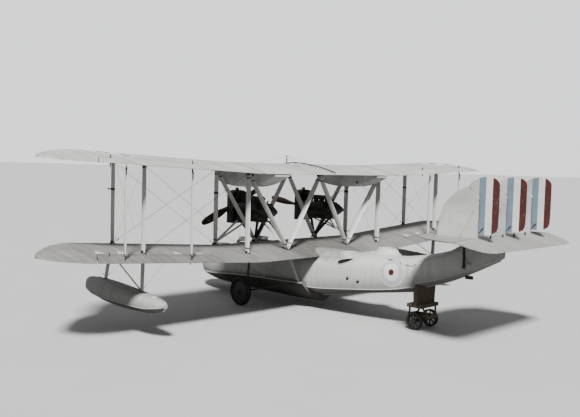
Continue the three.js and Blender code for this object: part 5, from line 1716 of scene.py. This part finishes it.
def dress_tanks():
    for side, s in SIDES.items():
        bm, straps = bmesh.new(), bmesh.new()
        y0 = s * 2.88
        rings = [[at(x, y0 + u, w) for u, w in tank_section(x, 0.36)] for x in spread(-0.835, 2.48, 0.12)]
        loft(bm, rings)
        for x in (-0.12, 0.85, 1.75):
            rings = [[at(x + off, y0 + u, w) for u, w in tank_section(x + off, 0.36, grow=g)]
                     for off, g in ((-0.021, -0.002), (-0.020, 0.0035), (0.020, 0.0035), (0.021, -0.002))]
            loft(bm, rings)
        turned(straps, [(0.0, 0.35), (0.05, 0.35), (0.05, 0.366), (0.035, 0.374), (0, 0.376)],
               at(0.2, y0, 2.49), (0, -s, 0), 20)
        turned(straps, [(0, -0.06), (0.05, -0.06), (0.055, -0.045), (0.055, 0.02), (0, 0.02)],
               at(1.0, y0, curve(TANK_BELLY, 1.0, 1)), steps=16)
        pipe = smooth_path([at(1.0, y0, 2.26), at(1.0, y0 - s * 0.10, 2.15), at(1.0, y0 - s * 0.55, 2.05),
                            at(1.15, s * (ENGINE_Y + 0.12), 1.86)], 6)
        tube(straps, pipe, 0.011, 8)
        piece(bm, f"tank_body_{side}", "tank", replaces=[f"fuel_tank_{side}"], sharp=30)
        piece(straps, f"tank_fittings_{side}", "iron")


# Cockpits and deck

def strip(bm, lower, upper, thick):
    """Curved pane between two rows of points, given a thickness."""
    verts = [bm.verts.new(p) for p in lower]
    edges = [bm.edges.new(pair) for pair in zip(verts, verts[1:])]
    geom = bmesh.ops.extrude_edge_only(bm, edges=edges)["geom"]
    fresh = {g for g in geom if isinstance(g, bmesh.types.BMVert)}
    for vert, point in zip(verts, upper):
        next(e.other_vert(vert) for e in vert.link_edges if e.other_vert(vert) in fresh).co = point
    faces = [g for g in geom if isinstance(g, bmesh.types.BMFace)]
    bmesh.ops.solidify(bm, geom=faces, thickness=thick)


def dress_cockpits():
    collars, rolls, rear_rolls = bmesh.new(), bmesh.new(), bmesh.new()
    boards, seats, metal_parts, panes, dials, dark = (bmesh.new() for _ in range(6))
    for name, (x, y, a, b, floor, rim) in COCKPITS.items():
        rear = name.startswith("rear")
        flare = 0.22 if rim > 0 else 0.0
        rings = []
        for grow, height in ((0.040 + flare, None), (0.040 + 0.3 * flare, rim - 0.6 * flare),
                             (0.040, rim - 0.012), (0.028, rim), (0.006, rim), (0.001, rim - 0.012),
                             (0.001, None)):
            ring = []
            for u, v in oval(a + grow, b + grow, 40):
                low = deck_height(x + u, y + v) - 0.05
                ring.append(at(x + u, y + v, low if height is None else max(height, low + 0.06)))
            rings.append(ring)
        loft(collars, rings, closed=True)
        top = [at(x + u, y + v, max(rim, deck_height(x + u, y + v) + 0.01) + 0.008)
               for u, v in oval(a + 0.02, b + 0.02, 40)]
        tube(rear_rolls if rear else rolls, top, 0.014 if rear else 0.024, 10, closed=True)
        for k in range(7):
            off = -0.9 * b + 1.8 * b * k / 6
            reach = a * sqrt(max(0.0, 1 - (off / b) ** 2)) * 0.9
            block(boards, (x - reach, y + off - 0.038, floor + 0.02),
                  (x + reach, y + off + 0.038, floor + 0.042), 0.004)
        if name.startswith("pilot"):
            pilot_fittings(name, x, y, a, b, floor, rim, seats, metal_parts, panes, dials, dark)
        else:
            if not rear:
                ring = [at(x + u, y + v, rim + 0.055) for u, v in oval(a + 0.005, b + 0.005, 40)]
                tube(metal_parts, ring, 0.017, 8, closed=True)
                for k in range(6):
                    t = tau * (k + 0.5) / 6
                    foot = at(x + (a + 0.01) * cos(t), y + (b + 0.01) * sin(t), rim - 0.02)
                    tube(metal_parts, [foot, foot + at(0, 0, 0.08)], 0.011, 6)
            block(seats, (x - 0.16, y - 0.20, floor + 0.30), (x + 0.10, y + 0.20, floor + 0.33), 0.008)
            tube(metal_parts, [at(x - 0.03, y, floor + 0.03), at(x - 0.03, y, floor + 0.30)], 0.022, 10)
    piece(collars, "cockpit_collars", "hull_plain", sharp=40)
    piece(rolls, "coaming_rolls", "leather")
    piece(rear_rolls, "rear_coaming_rolls", "hull_plain")
    piece(boards, "cockpit_floors", "plank")
    piece(seats, "crew_seats", "ash")
    piece(metal_parts, "cockpit_metalwork", "iron")
    piece(panes, "windscreen_panes", "pane", sharp=60)
    piece(dials, "instrument_faces", "dial")
    piece(dark, "instrument_rims", "dark")


def pilot_fittings(name, x, y, a, b, floor, rim, seats, metal_parts, panes, dials, dark):
    back = x - 0.20
    block(seats, (back, y - 0.22, floor + 0.26), (back + 0.40, y + 0.22, floor + 0.285), 0.008)
    lower = [at(back - 0.02 + 0.10 * (v / 0.22) ** 2, y + v, floor + 0.28) for v in spread(-0.22, 0.22, 0.04)]
    strip(seats, lower, [p + at(-0.05, 0, 0.48) for p in lower], 0.014)
    for e in (-1, 1):
        for off in (0.06, 0.34):
            tube(metal_parts, [at(back + off, y + e * 0.17, floor + 0.03),
                               at(back + off, y + e * 0.19, floor + 0.26)], 0.012, 8)
    cushion = bmesh.new()
    block(cushion, (back + 0.02, y - 0.19, floor + 0.288), (back + 0.38, y + 0.19, floor + 0.345), 0.026)
    pad = piece(cushion, f"seat_cushion_{name}", "leather", sharp=60)
    hub = at(x + 0.17, y, floor + 0.56)
    tube(metal_parts, [at(x + 0.28, y, floor + 0.03), hub], 0.018, 10)
    wheel = Matrix.Translation(hub) @ Matrix.Rotation(radians(-70), 4, "Y")
    rim_ring = [wheel @ at(0.15 * cos(t), 0.15 * sin(t), 0) for t in (tau * k / 28 for k in range(28))]
    tube(dark, rim_ring, 0.012, 8, closed=True)
    for k in range(4):
        t = tau * k / 4
        tube(metal_parts, [hub, wheel @ at(0.145 * cos(t), 0.145 * sin(t), 0)], 0.008, 6)
    face_x = x + 0.82 * a
    block(seats, (face_x, y - 0.19, rim - 0.24), (face_x + 0.014, y + 0.19, rim - 0.03), 0.004)
    for k, r in ((-1.5, 0.032), (-0.5, 0.045), (0.5, 0.045), (1.5, 0.032)):
        centre = at(face_x, y + 0.10 * k, rim - 0.12)
        turned(dark, [(r - 0.004, 0.0), (r - 0.004, 0.018), (r + 0.004, 0.018), (r + 0.006, 0)], centre,
               (-1, 0, 0), 20)
        turned(dials, [(0, 0.006), (r - 0.004, 0.006), (r - 0.004, 0.0)], centre, (-1, 0, 0), 20)
        block(dark, (-0.003, -0.0015, 0), (-0.001, 0.0015, r * 0.8), 0,
              Matrix.Translation(centre + at(-0.006, 0, 0)) @ Matrix.Rotation(k, 4, "X"))
    arc = [(cos(t), sin(t)) for t in (radians(-62 + 124 * k / 16) for k in range(17))]
    foot = [at(x + (a + 0.035) * u, y + (b + 0.035) * v,
               max(rim, deck_height(x + a * u, y + b * v)) + 0.015) for u, v in arc]
    head = [at(p.x - 0.10, y + (p.y - y) * 0.88, rim + 0.20 - 0.05 * abs(v) ** 3)
            for p, (u, v) in zip(foot, arc)]
    strip(panes, foot, head, 0.004)
    tube(metal_parts, head, 0.007, 6)
    for k in (0, 5, 11, 16):
        tube(metal_parts, [foot[k] - at(0, 0, 0.02), head[k]], 0.006, 6)


def dress_deck():
    """Port lights, mooring gear, hatches, grab lines and the pitot tubes."""
    iron, brass, port_glass_painted_shade, rope, wood = (bmesh.new() for _ in range(5))
    for s in SIDES.values():
        for x, z in ((-2.30, -0.84), (-2.75, -0.90)):
            y = hull_half_width(x, z)
            turned(brass, [(0.044, -0.02), (0.044, 0.010), (0.050, 0.014), (0.062, 0.010), (0.064, -0.02)],
                   at(x, s * y, z), (0, s, 0.12), 24)
            # The port light glass is flat black: painted shade for the dark inside of the hull behind it.
            turned(port_glass_painted_shade, [(0, 0.004), (0.045, 0.002), (0.045, -0.02)], at(x, s * y, z), (0, s, 0.12), 24)
        eyes = [at(x, s * (hull_half_width(x, z) + 0.02), z)
                for x, z in ((-4.37, -0.08), (-4.68, -0.13), (-4.99, -0.08))]
        tube(rope, smooth_path([eyes[0], eyes[0].lerp(eyes[1], 0.5) - at(0, 0, 0.035), eyes[1],
                                eyes[1].lerp(eyes[2], 0.5) - at(0, 0, 0.035), eyes[2]], 5), 0.008, 8)
        for eye in eyes:
            turned(iron, [(0, -0.03), (0.022, -0.03), (0.022, -0.012), (0.010, 0), (0, 0.012)], eye,
                   (0, s, 0), 12)
        for x in (6.25, 2.35, -3.9):
            y = 0.72 * curve(hull_table(x), x, 4)
            z = deck_height(x, y)
            tube(iron, smooth_path([at(x - 0.10, s * y, z + 0.055), at(x - 0.05, s * y, z + 0.045),
                                    at(x + 0.05, s * y, z + 0.045), at(x + 0.10, s * y, z + 0.055)], 4),
                 0.011, 8)
            for off in (-0.035, 0.035):
                tube(iron, [at(x + off, s * y, z - 0.02), at(x + off, s * y, z + 0.045)], 0.012, 8)
        tube(rope, smooth_path([at(-6.68, s * hull_half_width(-6.68, 0.5), 0.50),
                                at(-6.75, s * (hull_half_width(-6.75, 0.25) + 0.02), 0.22),
                                at(-6.7, s * 0.32, 0.02)], 5), 0.007, 8)
    hatch = at(5.05, 0, deck_height(5.05))
    turned(wood, [(0, 0.022), (0.15, 0.022), (0.165, 0.014), (0.17, -0.06)], hatch, steps=28)
    turned(brass, [(0, 0.030), (0.018, 0.030), (0.022, 0.020), (0.022, 0)], hatch, steps=14)
    block(iron, (-6.78, -0.03, -0.42), (-6.50, 0.03, -0.30), 0.012)
    turned(iron, [(0, -0.05), (0.05, -0.05), (0.05, 0.06), (0.035, 0.09), (0, 0.095)], at(6.45, 0, -0.70),
           steps=20)
    for y in (-9.9, 9.9):
        x, z = curve(PANEL, abs(y), 1), skin("upper", 1.75, y, TOP)
        tube(brass, [at(x - 0.10, y, z - 0.12), at(x + 0.16, y, z - 0.14)], 0.008, 8)
    piece(iron, "deck_ironwork", "iron")
    piece(brass, "port_light_rims", "brass_dark")
    piece(port_glass_painted_shade, "port_light_glass", "dark")
    piece(rope, "grab_lines", "canvas")
    piece(wood, "deck_hatches", "hull_plain")


# Rigging

def wire(bm, start, end, doubled=0.0):
    """Rigging wire with a turnbuckle at its lower end, or a pair of them side by side along x."""
    start, end = Vector(start), Vector(end)
    radius = bpy.context.scene.boat_rigging.wire / 2
    for off in ((-doubled / 2, doubled / 2) if doubled else (0.0,)):
        a, b = start + at(off, 0, 0), end + at(off, 0, 0)
        tube(bm, [a, b], radius, 6)
        low, high = (a, b) if a.z < b.z else (b, a)
        way = (high - low).normalized()
        tube(bm, [low + way * d for d in (0.10, 0.13, 0.22, 0.25)], [0.004, 0.0095, 0.0095, 0.004], 8)


def dress_rigging():
    flying, tail = bmesh.new(), bmesh.new()
    for s in SIDES.values():
        inner, outer = s * INNER_Y, s * OUTER_Y
        for x in (FRONT_SPAR, REAR_SPAR):
            low_in, low_out = (at(x, y, skin("lower", x, y, TOP) + 0.03)
                               for y in (inner + s * 0.05, outer - s * 0.05))
            up_in, up_out = (at(x, y, skin("upper", x, y, UNDER) - 0.03)
                             for y in (inner + s * 0.05, outer - s * 0.05))
            wire(flying, low_in, up_out, 0.09)
            wire(flying, up_in, low_out, 0.05)
            foot = at(x, s * 1.13, -1.24)
            wire(flying, foot, at(x, inner, skin("lower", x, inner, UNDER) - 0.01), 0.08)
        for y in (inner, outer):
            ends = [[at(x, y, skin(level, x, y, column)) for x in (FRONT_SPAR - 0.1, REAR_SPAR + 0.1)]
                    for level, column in (("lower", TOP), ("upper", UNDER))]
            wire(flying, ends[0][0] + at(0, 0, 0.04), ends[1][1] - at(0, 0, 0.04))
            wire(flying, ends[0][1] + at(0, 0, 0.04), ends[1][0] - at(0, 0, 0.04))
        for x, (_, foot_x) in zip((FRONT_SPAR, REAR_SPAR), FLOAT_LEGS):
            for y in (outer - 0.9, outer + 0.9):
                wire(flying, at(foot_x, outer, curve(FLOAT, foot_x, 3) + 0.03),
                     at(x, y, skin("lower", x, y, UNDER) - 0.01))
        for x in (-6.55, -7.70):
            side_fin = at(x + 0.05, s * SIDE_FIN, TAIL_Z + 0.09)
            wire(tail, at(x, s * 0.05, 1.95 if x < -7 else 1.75), side_fin)
            wire(tail, at(x, s * SIDE_FIN, 2.0 if x < -7 else 1.75), at(x, s * 0.09, TAIL_Z + 0.08))
            wire(tail, at(x - 0.02, s * (SIDE_FIN + 0.05), 1.95 if x < -7 else 1.7),
                 at(x if x < -7 else -6.85, s * 2.5, TAIL_Z + 0.05))
        for x in (-6.5, -7.5):
            wire(tail, at(-6.9, s * 0.34, 0.10), at(x, s * 2.45, TAIL_Z - 0.05))
        for z_off in (0.0, 0.07):
            run = [at(x, s * (hull_half_width(x, curve(TAIL_HULL, x, 3) - 0.12 - z_off) + 0.03),
                      curve(TAIL_HULL, x, 3) - 0.12 - z_off) for x in (-5.0, -5.9, -6.9, -7.6)]
            tube(tail, run, 0.0035, 6)
    mast_top = at(1.82, 0, 3.51)
    for x, y in ((1.90, 1.5), (1.90, -1.5), (0.2, 0.9), (0.2, -0.9)):
        wire(flying, mast_top, at(x, y, skin("upper", x, y, TOP) + 0.01))
    piece(flying, "wing_wires", "wire")
    piece(tail, "tail_wires", "wire")
    dress_horns()


def dress_horns():
    """Control horns on the moving surfaces; each pair stands where its surface is hinged."""
    horn = [(0.0, -0.16), (0.035, -0.15), (0.075, 0.0), (0.035, 0.15), (0.0, 0.16), (-0.012, 0.13),
            (-0.012, -0.13)]
    for side, s in SIDES.items():
        for level in LEVELS:
            bm = bmesh.new()
            for y in (6.45, 9.45):
                x = HINGE_X - 0.12
                z = (skin(level, x, y, TOP) + skin(level, x, y, UNDER)) / 2
                place = on_edge(x, s * y, z)
                plate(bm, [(u, w * 1.25) for u, w in horn], 0.006, place, 0.0015)
            piece(bm, f"aileron_horns_{level}_{side}", "iron", f"aileron_{level}_{side}")
    bm = bmesh.new()
    for y in (-1.1, -0.36, 0.36, 1.1):
        place = on_edge(TAIL_HINGE - 0.10, y, TAIL_Z - 0.025)
        plate(bm, [(u, w * 1.05) for u, w in horn], 0.006, place, 0.0015)
    piece(bm, "elevator_horns", "iron", "elevator")
    for name, y in (("port", SIDE_FIN), ("centre", 0.0), ("stbd", -SIDE_FIN)):
        bm = bmesh.new()
        place = Matrix.Translation((POST_X - 0.10, y, 1.42)) @ Matrix.Rotation(-QUARTER, 4, "Z")
        plate(bm, [(w * 0.95, -u) for u, w in horn], 0.006, place, 0.0015)
        piece(bm, f"rudder_horn_{name}", "iron", f"rudder_{name}")


# Beaching gear, trolley and mast

def dress_beaching_gear():
    for side, s in SIDES.items():
        bm, fittings = bmesh.new(), bmesh.new()
        leg_y, head_x = s * 1.90, 1.79
        knuckle = at(AXLE_X, leg_y, AXLE_Z)
        under = skin("lower", head_x, leg_y, UNDER)
        for start, r in ((at(head_x, leg_y, under - 0.005), 0.042), (at(AXLE_X, s * 1.19, -1.45), 0.038),
                         (at(-0.18, s * 1.15, -1.29), 0.034)):
            way = (knuckle - start).normalized()
            tube(bm, [start, knuckle], r, 16)
            for centre in (start + way * 0.05, knuckle - way * 0.16):
                turned(fittings, [(r - 0.01, -0.035), (r + 0.010, -0.035), (r + 0.012, 0.0),
                                  (r + 0.010, 0.035), (r - 0.01, 0.035)], centre, way, 18)
        turned(fittings, [(0, 0), (0.085, 0), (0.09, 0.010), (0.09, 0.022), (0, 0.022)],
               at(head_x, leg_y, under - 0.022), steps=20)
        block(bm, (1.88, leg_y - 0.06, -1.85), (2.02, leg_y + 0.06, -1.71), 0.014)
        axle = at(AXLE_X, leg_y - s * 0.04, AXLE_Z)
        tube(bm, [axle, at(AXLE_X, s * 2.35, AXLE_Z)], 0.045, 24)
        for e in (-1, 1):
            for k in (-1, 1):
                bolt(fittings, at(AXLE_X + 0.045 * e, leg_y - s * 0.06, AXLE_Z + 0.045 * k), (0, -s, 0),
                     0.014)
        piece(bm, f"wheel_legs_{side}", "iron", replaces=[f"beaching_frame_{side}"])
        piece(fittings, f"wheel_leg_collars_{side}", "steel")
        tyre, disc = bmesh.new(), bmesh.new()
        section = [(0.405, -0.075), (0.430, -0.090), (0.475, -0.1), (0.515, -0.080), (0.535, -0.045),
                   (0.540, 0.0), (0.535, 0.045), (0.515, 0.080), (0.475, 0.1), (0.430, 0.090),
                   (0.405, 0.075), (0.400, 0.0), (0.405, -0.075)]
        centre = at(AXLE_X, s * WHEEL_Y, AXLE_Z)
        turned(tyre, section, centre, "y", 64)
        outer = [(0.0457, 0.113), (0.078, 0.115), (0.084, 0.108), (0.086, 0.070), (0.10, 0.058),
                 (0.385, 0.030), (0.400, 0.045), (0.415, 0.078), (0.406, 0.080), (0.398, 0.055)]
        turned(disc, [*outer, *[(r, -h) for r, h in reversed(outer)], outer[0]], centre, "y", 64)
        for e in (-1, 1):
            bolt_circle(disc, centre + at(0, e * 0.056, 0), (0, e, 0), 0.12, 10, 0.012)
            bolt_circle(disc, centre + at(0, e * 0.0325, 0), (0, e, 0), 0.36, 10, 0.009, 0.3)
        body = f"beaching_wheel_{side}"
        piece(tyre, f"tyre_{side}", "rubber", body, [body], sharp=50)
        piece(disc, f"wheel_disc_{side}", "wheel_paint", body)
        cap = bmesh.new()
        turned(cap, [(0, 0.036), (0.034, 0.036), (0.044, 0.026), (0.050, 0.006), (0.050, 0.0), (0, 0.0)],
               at(AXLE_X, s * 2.330, AXLE_Z), (0, s, 0), 6)
        piece(cap, f"axle_nut_{side}", "steel")


def cradle_outline(table, x):
    sizes = row_at(table, x)
    section = [(u, w - 0.004) for u, w in hull_section(*sizes) if w < sizes[1] and u < 0.57]
    right = list(reversed(section[1:]))
    return [(-0.52, -1.5), (0.52, -1.5), (0.56, right[0][1]), *right, (0.0, section[0][1]),
            *[(-u, w) for u, w in section[1:]], (-0.56, right[0][1])]


def dress_trolley():
    x0, axle_z = -4.90, -2.02
    wood, iron = bmesh.new(), bmesh.new()
    low, high = axle_z + 0.09, axle_z + 0.20
    for s in (-1, 1):
        block(wood, (x0 - 0.42, s * 0.225 - 0.035, low), (x0 + 0.42, s * 0.225 + 0.035, high), 0.006)
        block(iron, (x0 - 0.05, s * 0.225 - 0.035, axle_z + 0.045),
              (x0 + 0.05, s * 0.225 + 0.035, axle_z + 0.10), 0.004)
        for off in (-0.045, 0.045):
            low_x, high_x = sorted((x0 + off - 0.008, x0 + off + 0.008))
            block(iron, (low_x, s * 0.225 - 0.037, axle_z - 0.07),
                  (high_x, s * 0.225 + 0.037, axle_z + 0.15), 0.003)
        for end in (-1, 1):
            tube(wood, [at(x0 + end * 0.38, s * 0.225, axle_z + 0.14), at(x0 + end * 0.24, s * 0.40, -1.5)],
                 0.034, 12)
            bolt(iron, at(x0 + end * 0.38, s * 0.262, axle_z + 0.145), (0, s, 0), 0.02)
    for lo, hi in ((-0.42, -0.33), (0.33, 0.42)):
        block(wood, (x0 + lo, -0.19, low + 0.001), (x0 + hi, 0.19, high - 0.001), 0.006)
    block(wood, (x0 - 0.06, -0.19, axle_z + 0.06), (x0 + 0.06, 0.19, axle_z + 0.16), 0.006)
    for k in range(6):
        lo = -0.30 + 0.10 * k
        block(wood, (x0 + lo + 0.002, -0.52, -1.56), (x0 + lo + 0.098, 0.52, -1.44), 0.006)
        for s in (-1, 1):
            bolt(iron, at(x0 + lo + 0.05, s * 0.40, -1.44), (0, 0, 1), 0.012)
    for (x_lo, x_hi), (table, x) in (((x0 - 0.13, -4.955), (TAIL_HULL, -4.956)),
                                     ((-4.952, x0 + 0.03), (HULL, -4.90))):
        outline = cradle_outline(table, x)
        plate(wood, outline, x_hi - x_lo, athwart((x_lo + x_hi) / 2, 0, 0), 0.004)
        for u in (-0.4, 0.0, 0.4):
            bolt(iron, at(x_hi if x_hi > -4.9 else x_lo, u, -1.36), (1 if x_hi > -4.9 else -1, 0, 0), 0.016)
    piece(wood, "trolley_timber", "plank", replaces=["tail_trolley"])
    piece(iron, "trolley_ironwork", "iron")
    wheels = bmesh.new()
    tube(wheels, [at(x0, -0.54, axle_z), at(x0, 0.54, axle_z)], 0.037, 20)
    for s in (-1, 1):
        centre = at(x0, s * 0.47, axle_z)
        turned(wheels, [(0.24, -0.06), (0.296, -0.06), (0.3, -0.055), (0.3, 0.055), (0.296, 0.06),
                        (0.24, 0.06), (0.245, 0.0), (0.24, -0.06)], centre, "y", 48)
        turned(wheels, [(0.037, -0.06), (0.066, -0.06), (0.07, -0.054), (0.078, 0.0), (0.07, 0.054),
                        (0.066, 0.06), (0.037, 0.06), (0.037, -0.06)], centre, "y", 28)
        for k in range(8):
            t = tau * k / 8
            place = Matrix.Translation(centre) @ Matrix.Rotation(t, 4, "Y")
            block(wheels, (0.065, -0.017, -0.024), (0.25, 0.017, 0.024), 0.008, place)
        tube(wheels, [centre + at(0, s * 0.062, 0), centre + at(0, s * 0.069, 0)], 0.052, 16)
    piece(wheels, "trolley_running_gear", "iron", "trolley_wheels", ["trolley_wheels"])


def dress_mast():
    bm = bmesh.new()
    base = skin("upper", 1.82, 0, TOP)
    tube(bm, [at(1.82, 0, base - 0.02), at(1.82, 0, 3.33), at(1.82, 0, 3.53), at(1.82, 0, 3.548)],
         [0.022, 0.022, 0.017, 0.006], 14)
    block(bm, (1.735, -0.055, base - 0.03), (1.905, 0.055, base + 0.06), 0.012)
    turned(bm, [(0.02, 3.33), (0.030, 3.335), (0.030, 3.36), (0.02, 3.365)], at(1.82, 0, 0), steps=14)
    run = [at(x, 0, skin("upper", x, 0, TOP) + 0.045) for x in (1.82, 1.5, 1.2, 0.7, 0.3, -0.2, -0.80)]
    tube(bm, smooth_path(run, 3), 0.022, 10)
    for x in (1.3, 0.5, -0.6):
        z = skin("upper", x, 0, TOP)
        block(bm, (x - 0.02, -0.03, z - 0.01), (x + 0.02, 0.03, z + 0.03), 0.005)
    piece(bm, "lamp_mast", "iron", replaces=["mast"])


# Stage

CAMERA_AT = Vector((-18.95, 21.08, 3.13))
CAMERA_RIGHT = (-0.71536304, -0.69823335, 0.02694285)
CAMERA_UP = (0.06048307, -0.023461, 0.99789347)
CAMERA_WAY = (0.69613039, -0.71548569, -0.05901443)
TO_SUN = Vector((-1.10, 1.14, 1.66))


def build_stage():
    scene, light = bpy.context.scene, bpy.context.scene.boat_stage
    camera = bpy.data.cameras.new("camera")
    camera.sensor_width, camera.lens = 36.0, light.lens
    camera.clip_start, camera.clip_end = 0.1, 2000.0
    eye = bpy.data.objects.new("camera", camera)
    scene.collection.objects.link(eye)
    turn = Matrix((CAMERA_RIGHT, CAMERA_UP, [-v for v in CAMERA_WAY])).transposed()
    eye.matrix_world = Matrix.Translation(CAMERA_AT + DATUM) @ turn.to_4x4()
    scene.camera = eye
    bm = bmesh.new()
    bmesh.ops.create_circle(bm, cap_ends=True, segments=96, radius=900.0)
    mesh = bpy.data.meshes.new("floor")
    bm.to_mesh(mesh)
    bm.free()
    floor = bpy.data.objects.new("floor", mesh)
    scene.collection.objects.link(floor)
    ground = bpy.data.materials.new("pale floor")
    ground.use_nodes = True
    s = Shading(ground.node_tree)
    shader = s.tree.nodes["Principled BSDF"]
    cloud = s.remap(s.noise(s.node("ShaderNodeTexCoord").outputs["Object"], 0.3, 4.0, 0.6), 0.3, 0.7, 0.97,
                    1.03)
    seen = s.node("ShaderNodeLightPath").outputs["Is Camera Ray"]
    tone = s.shaded((*light.floor, 1), cloud)
    s.tree.links.new(s.mix(seen, grey(light.bounce), tone), shader.inputs["Base Color"])
    shader.inputs["Roughness"].default_value = 0.9
    mesh.materials.append(ground)
    sun = bpy.data.lights.new("key", "SUN")
    sun.energy, sun.angle = light.sun, radians(9)
    lamp = bpy.data.objects.new("key", sun)
    lamp.rotation_mode = "QUATERNION"
    lamp.rotation_quaternion = TO_SUN.to_track_quat("Z", "Y")
    scene.collection.objects.link(lamp)
    world = bpy.data.worlds.new("soft sky")
    world.use_nodes = True
    s = Shading(world.node_tree)
    backdrop = world.node_tree.nodes["Background"]
    backdrop.inputs["Color"].default_value = (0.97, 0.985, 1.0, 1)
    seen = s.node("ShaderNodeLightPath").outputs["Is Camera Ray"]
    s.tree.links.new(s.remap(seen, 0.0, 1.0, light.sky, light.backdrop), backdrop.inputs["Strength"])
    scene.world = world


# Add-on

def colour_setting(name, description, default):
    return bpy.props.FloatVectorProperty(name=name, description=description, default=default, size=3,
                                         subtype="COLOR", min=0.0, max=1.0)


class BoatPaint(bpy.types.PropertyGroup):
    """Colours of the boat"""
    hull: colour_setting("Hull", "Enamel of the hull and floats", (0.70, 0.70, 0.675))
    bottom: colour_setting("Bottom", "Paint of the planing bottom", (0.20, 0.195, 0.18))
    lower: colour_setting("Lower wing", "Doped linen of the lower wing", (0.28, 0.275, 0.262))
    # Much paler than the lower wing's linen; part of the difference is painted sheen, for the bright grazing
    # light on the upper wing.
    upper: colour_setting("Upper wing", "Doped linen of the upper wing", (0.62, 0.615, 0.59))
    tail: colour_setting("Fins", "Doped linen of the fins and rudders", (0.66, 0.655, 0.63))
    tailplane: colour_setting("Tailplane", "Doped linen of the tailplane and elevator", (0.36, 0.355, 0.34))
    strut: colour_setting("Struts", "Paint of the struts", (0.74, 0.735, 0.71))
    # Paler than the hull's enamel; part of it is painted light, for the light thrown up onto the tanks from
    # below.
    tank: colour_setting("Tanks", "Paint of the fuel tanks", (0.80, 0.80, 0.78))
    iron: colour_setting("Iron", "Painted iron of fittings and gear", (0.055, 0.054, 0.052))
    blue: colour_setting("Blue", "Faded blue of the roundels and the front stripes", (0.20, 0.265, 0.33))
    white: colour_setting("White", "White of the roundels and the middle stripes", (0.82, 0.82, 0.79))
    red: colour_setting("Red", "Dark red of the roundels and the rear stripes", (0.085, 0.022, 0.020))


class BoatFabric(bpy.types.PropertyGroup):
    """Covering of the wings and tail"""
    rib_spacing: bpy.props.FloatProperty(name="Rib spacing", description="Distance between two ribs",
                                         default=0.378, min=0.2, max=0.8, unit="LENGTH")
    rib_sag: bpy.props.FloatProperty(name="Sag", description="How far the cloth sinks between two ribs",
                                     default=0.008, min=0.0, max=0.02, unit="LENGTH")
    tape_width: bpy.props.FloatProperty(name="Tape width", description="Width of the tape over a rib",
                                        default=0.045, min=0.01, max=0.1, unit="LENGTH")


class BoatRigging(bpy.types.PropertyGroup):
    """Wires"""
    wire: bpy.props.FloatProperty(name="Wire", description="Thickness of a rigging wire", default=0.007,
                                  min=0.003, max=0.02, unit="LENGTH")


class BoatStage(bpy.types.PropertyGroup):
    """Floor, lights and camera"""
    floor: colour_setting("Floor", "Colour of the floor", (0.62, 0.62, 0.61))
    bounce: bpy.props.FloatProperty(name="Bounce", description="How much light the floor throws back",
                                    default=0.1, min=0.0)
    sun: bpy.props.FloatProperty(name="Key light", description="Strength of the key light", default=6.5,
                                 min=0.0)
    sky: bpy.props.FloatProperty(name="Sky", description="Strength of the soft light all round",
                                 default=0.25, min=0.0)
    backdrop: bpy.props.FloatProperty(name="Backdrop", description="Brightness of the backdrop",
                                      default=1.5, min=0.0)
    lens: bpy.props.FloatProperty(name="Lens", description="Focal length of the camera in mm",
                                  default=45.58, min=10.0)


def maker(idname, label, doc, *steps):
    """An operator class that runs the given steps."""
    def execute(self, context):
        for step in steps:
            step()
        return {"FINISHED"}
    name = "BOAT_OT_" + idname
    return type(name, (bpy.types.Operator,), {"bl_idname": f"boat.{idname}", "bl_label": label,
                                              "__doc__": doc, "execute": execute})


OPERATORS = [
    maker("stage", "Stage", "Floor, lights and camera", build_stage),
    maker("hull", "Hull", "Hull shell, planing bottom and keel", dress_hull),
    maker("cockpits", "Cockpits", "Coamings, seats, controls and windscreens", dress_cockpits),
    maker("deck", "Deck gear", "Port lights, cleats, hatches and lines", dress_deck),
    maker("wings", "Wings", "Linen covered wings and ailerons", dress_wings),
    maker("struts", "Struts", "Struts, trusses and aileron links", dress_struts),
    maker("engines", "Engines", "Engines, radiators and bearers", dress_engines),
    maker("propellers", "Propellers", "Laminated propellers", dress_propellers),
    maker("tanks", "Tanks", "Fuel tanks under the upper wing", dress_tanks),
    maker("floats", "Wing floats", "Floats and their legs", dress_floats),
    maker("tail", "Tail", "Tailplane, elevator, fins and rudders", dress_tail),
    maker("rigging", "Rigging", "Wires and control horns", dress_rigging),
    maker("gear", "Beaching gear", "Beaching wheels and their legs", dress_beaching_gear),
    maker("trolley", "Tail trolley", "Cradle and wheels under the rear step", dress_trolley),
    maker("mast", "Mast", "Lamp mast on the upper wing", dress_mast),
]


class BOAT_PT_panel(bpy.types.Panel):
    """Lists the pieces of the boat"""
    bl_label = "Flying boat"
    bl_space_type = "VIEW_3D"
    bl_region_type = "UI"
    bl_category = "Flying boat"

    def draw(self, context):
        for operator in OPERATORS:
            self.layout.operator(operator.bl_idname)
        for name in SETTINGS:
            group = getattr(context.scene, name)
            for field in group.bl_rna.properties.keys():
                if field not in ("rna_type", "name"):
                    self.layout.prop(group, field)


SETTINGS = {"boat_paint": BoatPaint, "boat_fabric": BoatFabric, "boat_rigging": BoatRigging,
            "boat_stage": BoatStage}
CLASSES = [*SETTINGS.values(), *OPERATORS, BOAT_PT_panel]


def register():
    for cls in CLASSES:
        bpy.utils.register_class(cls)
    for name, group in SETTINGS.items():
        setattr(bpy.types.Scene, name, bpy.props.PointerProperty(type=group))


def unregister():
    for name in SETTINGS:
        delattr(bpy.types.Scene, name)
    for cls in reversed(CLASSES):
        bpy.utils.unregister_class(cls)


def main():
    register()
    for operator in OPERATORS:
        getattr(bpy.ops.boat, operator.bl_idname.split(".")[1])()


if __name__ == "__main__":
    main()
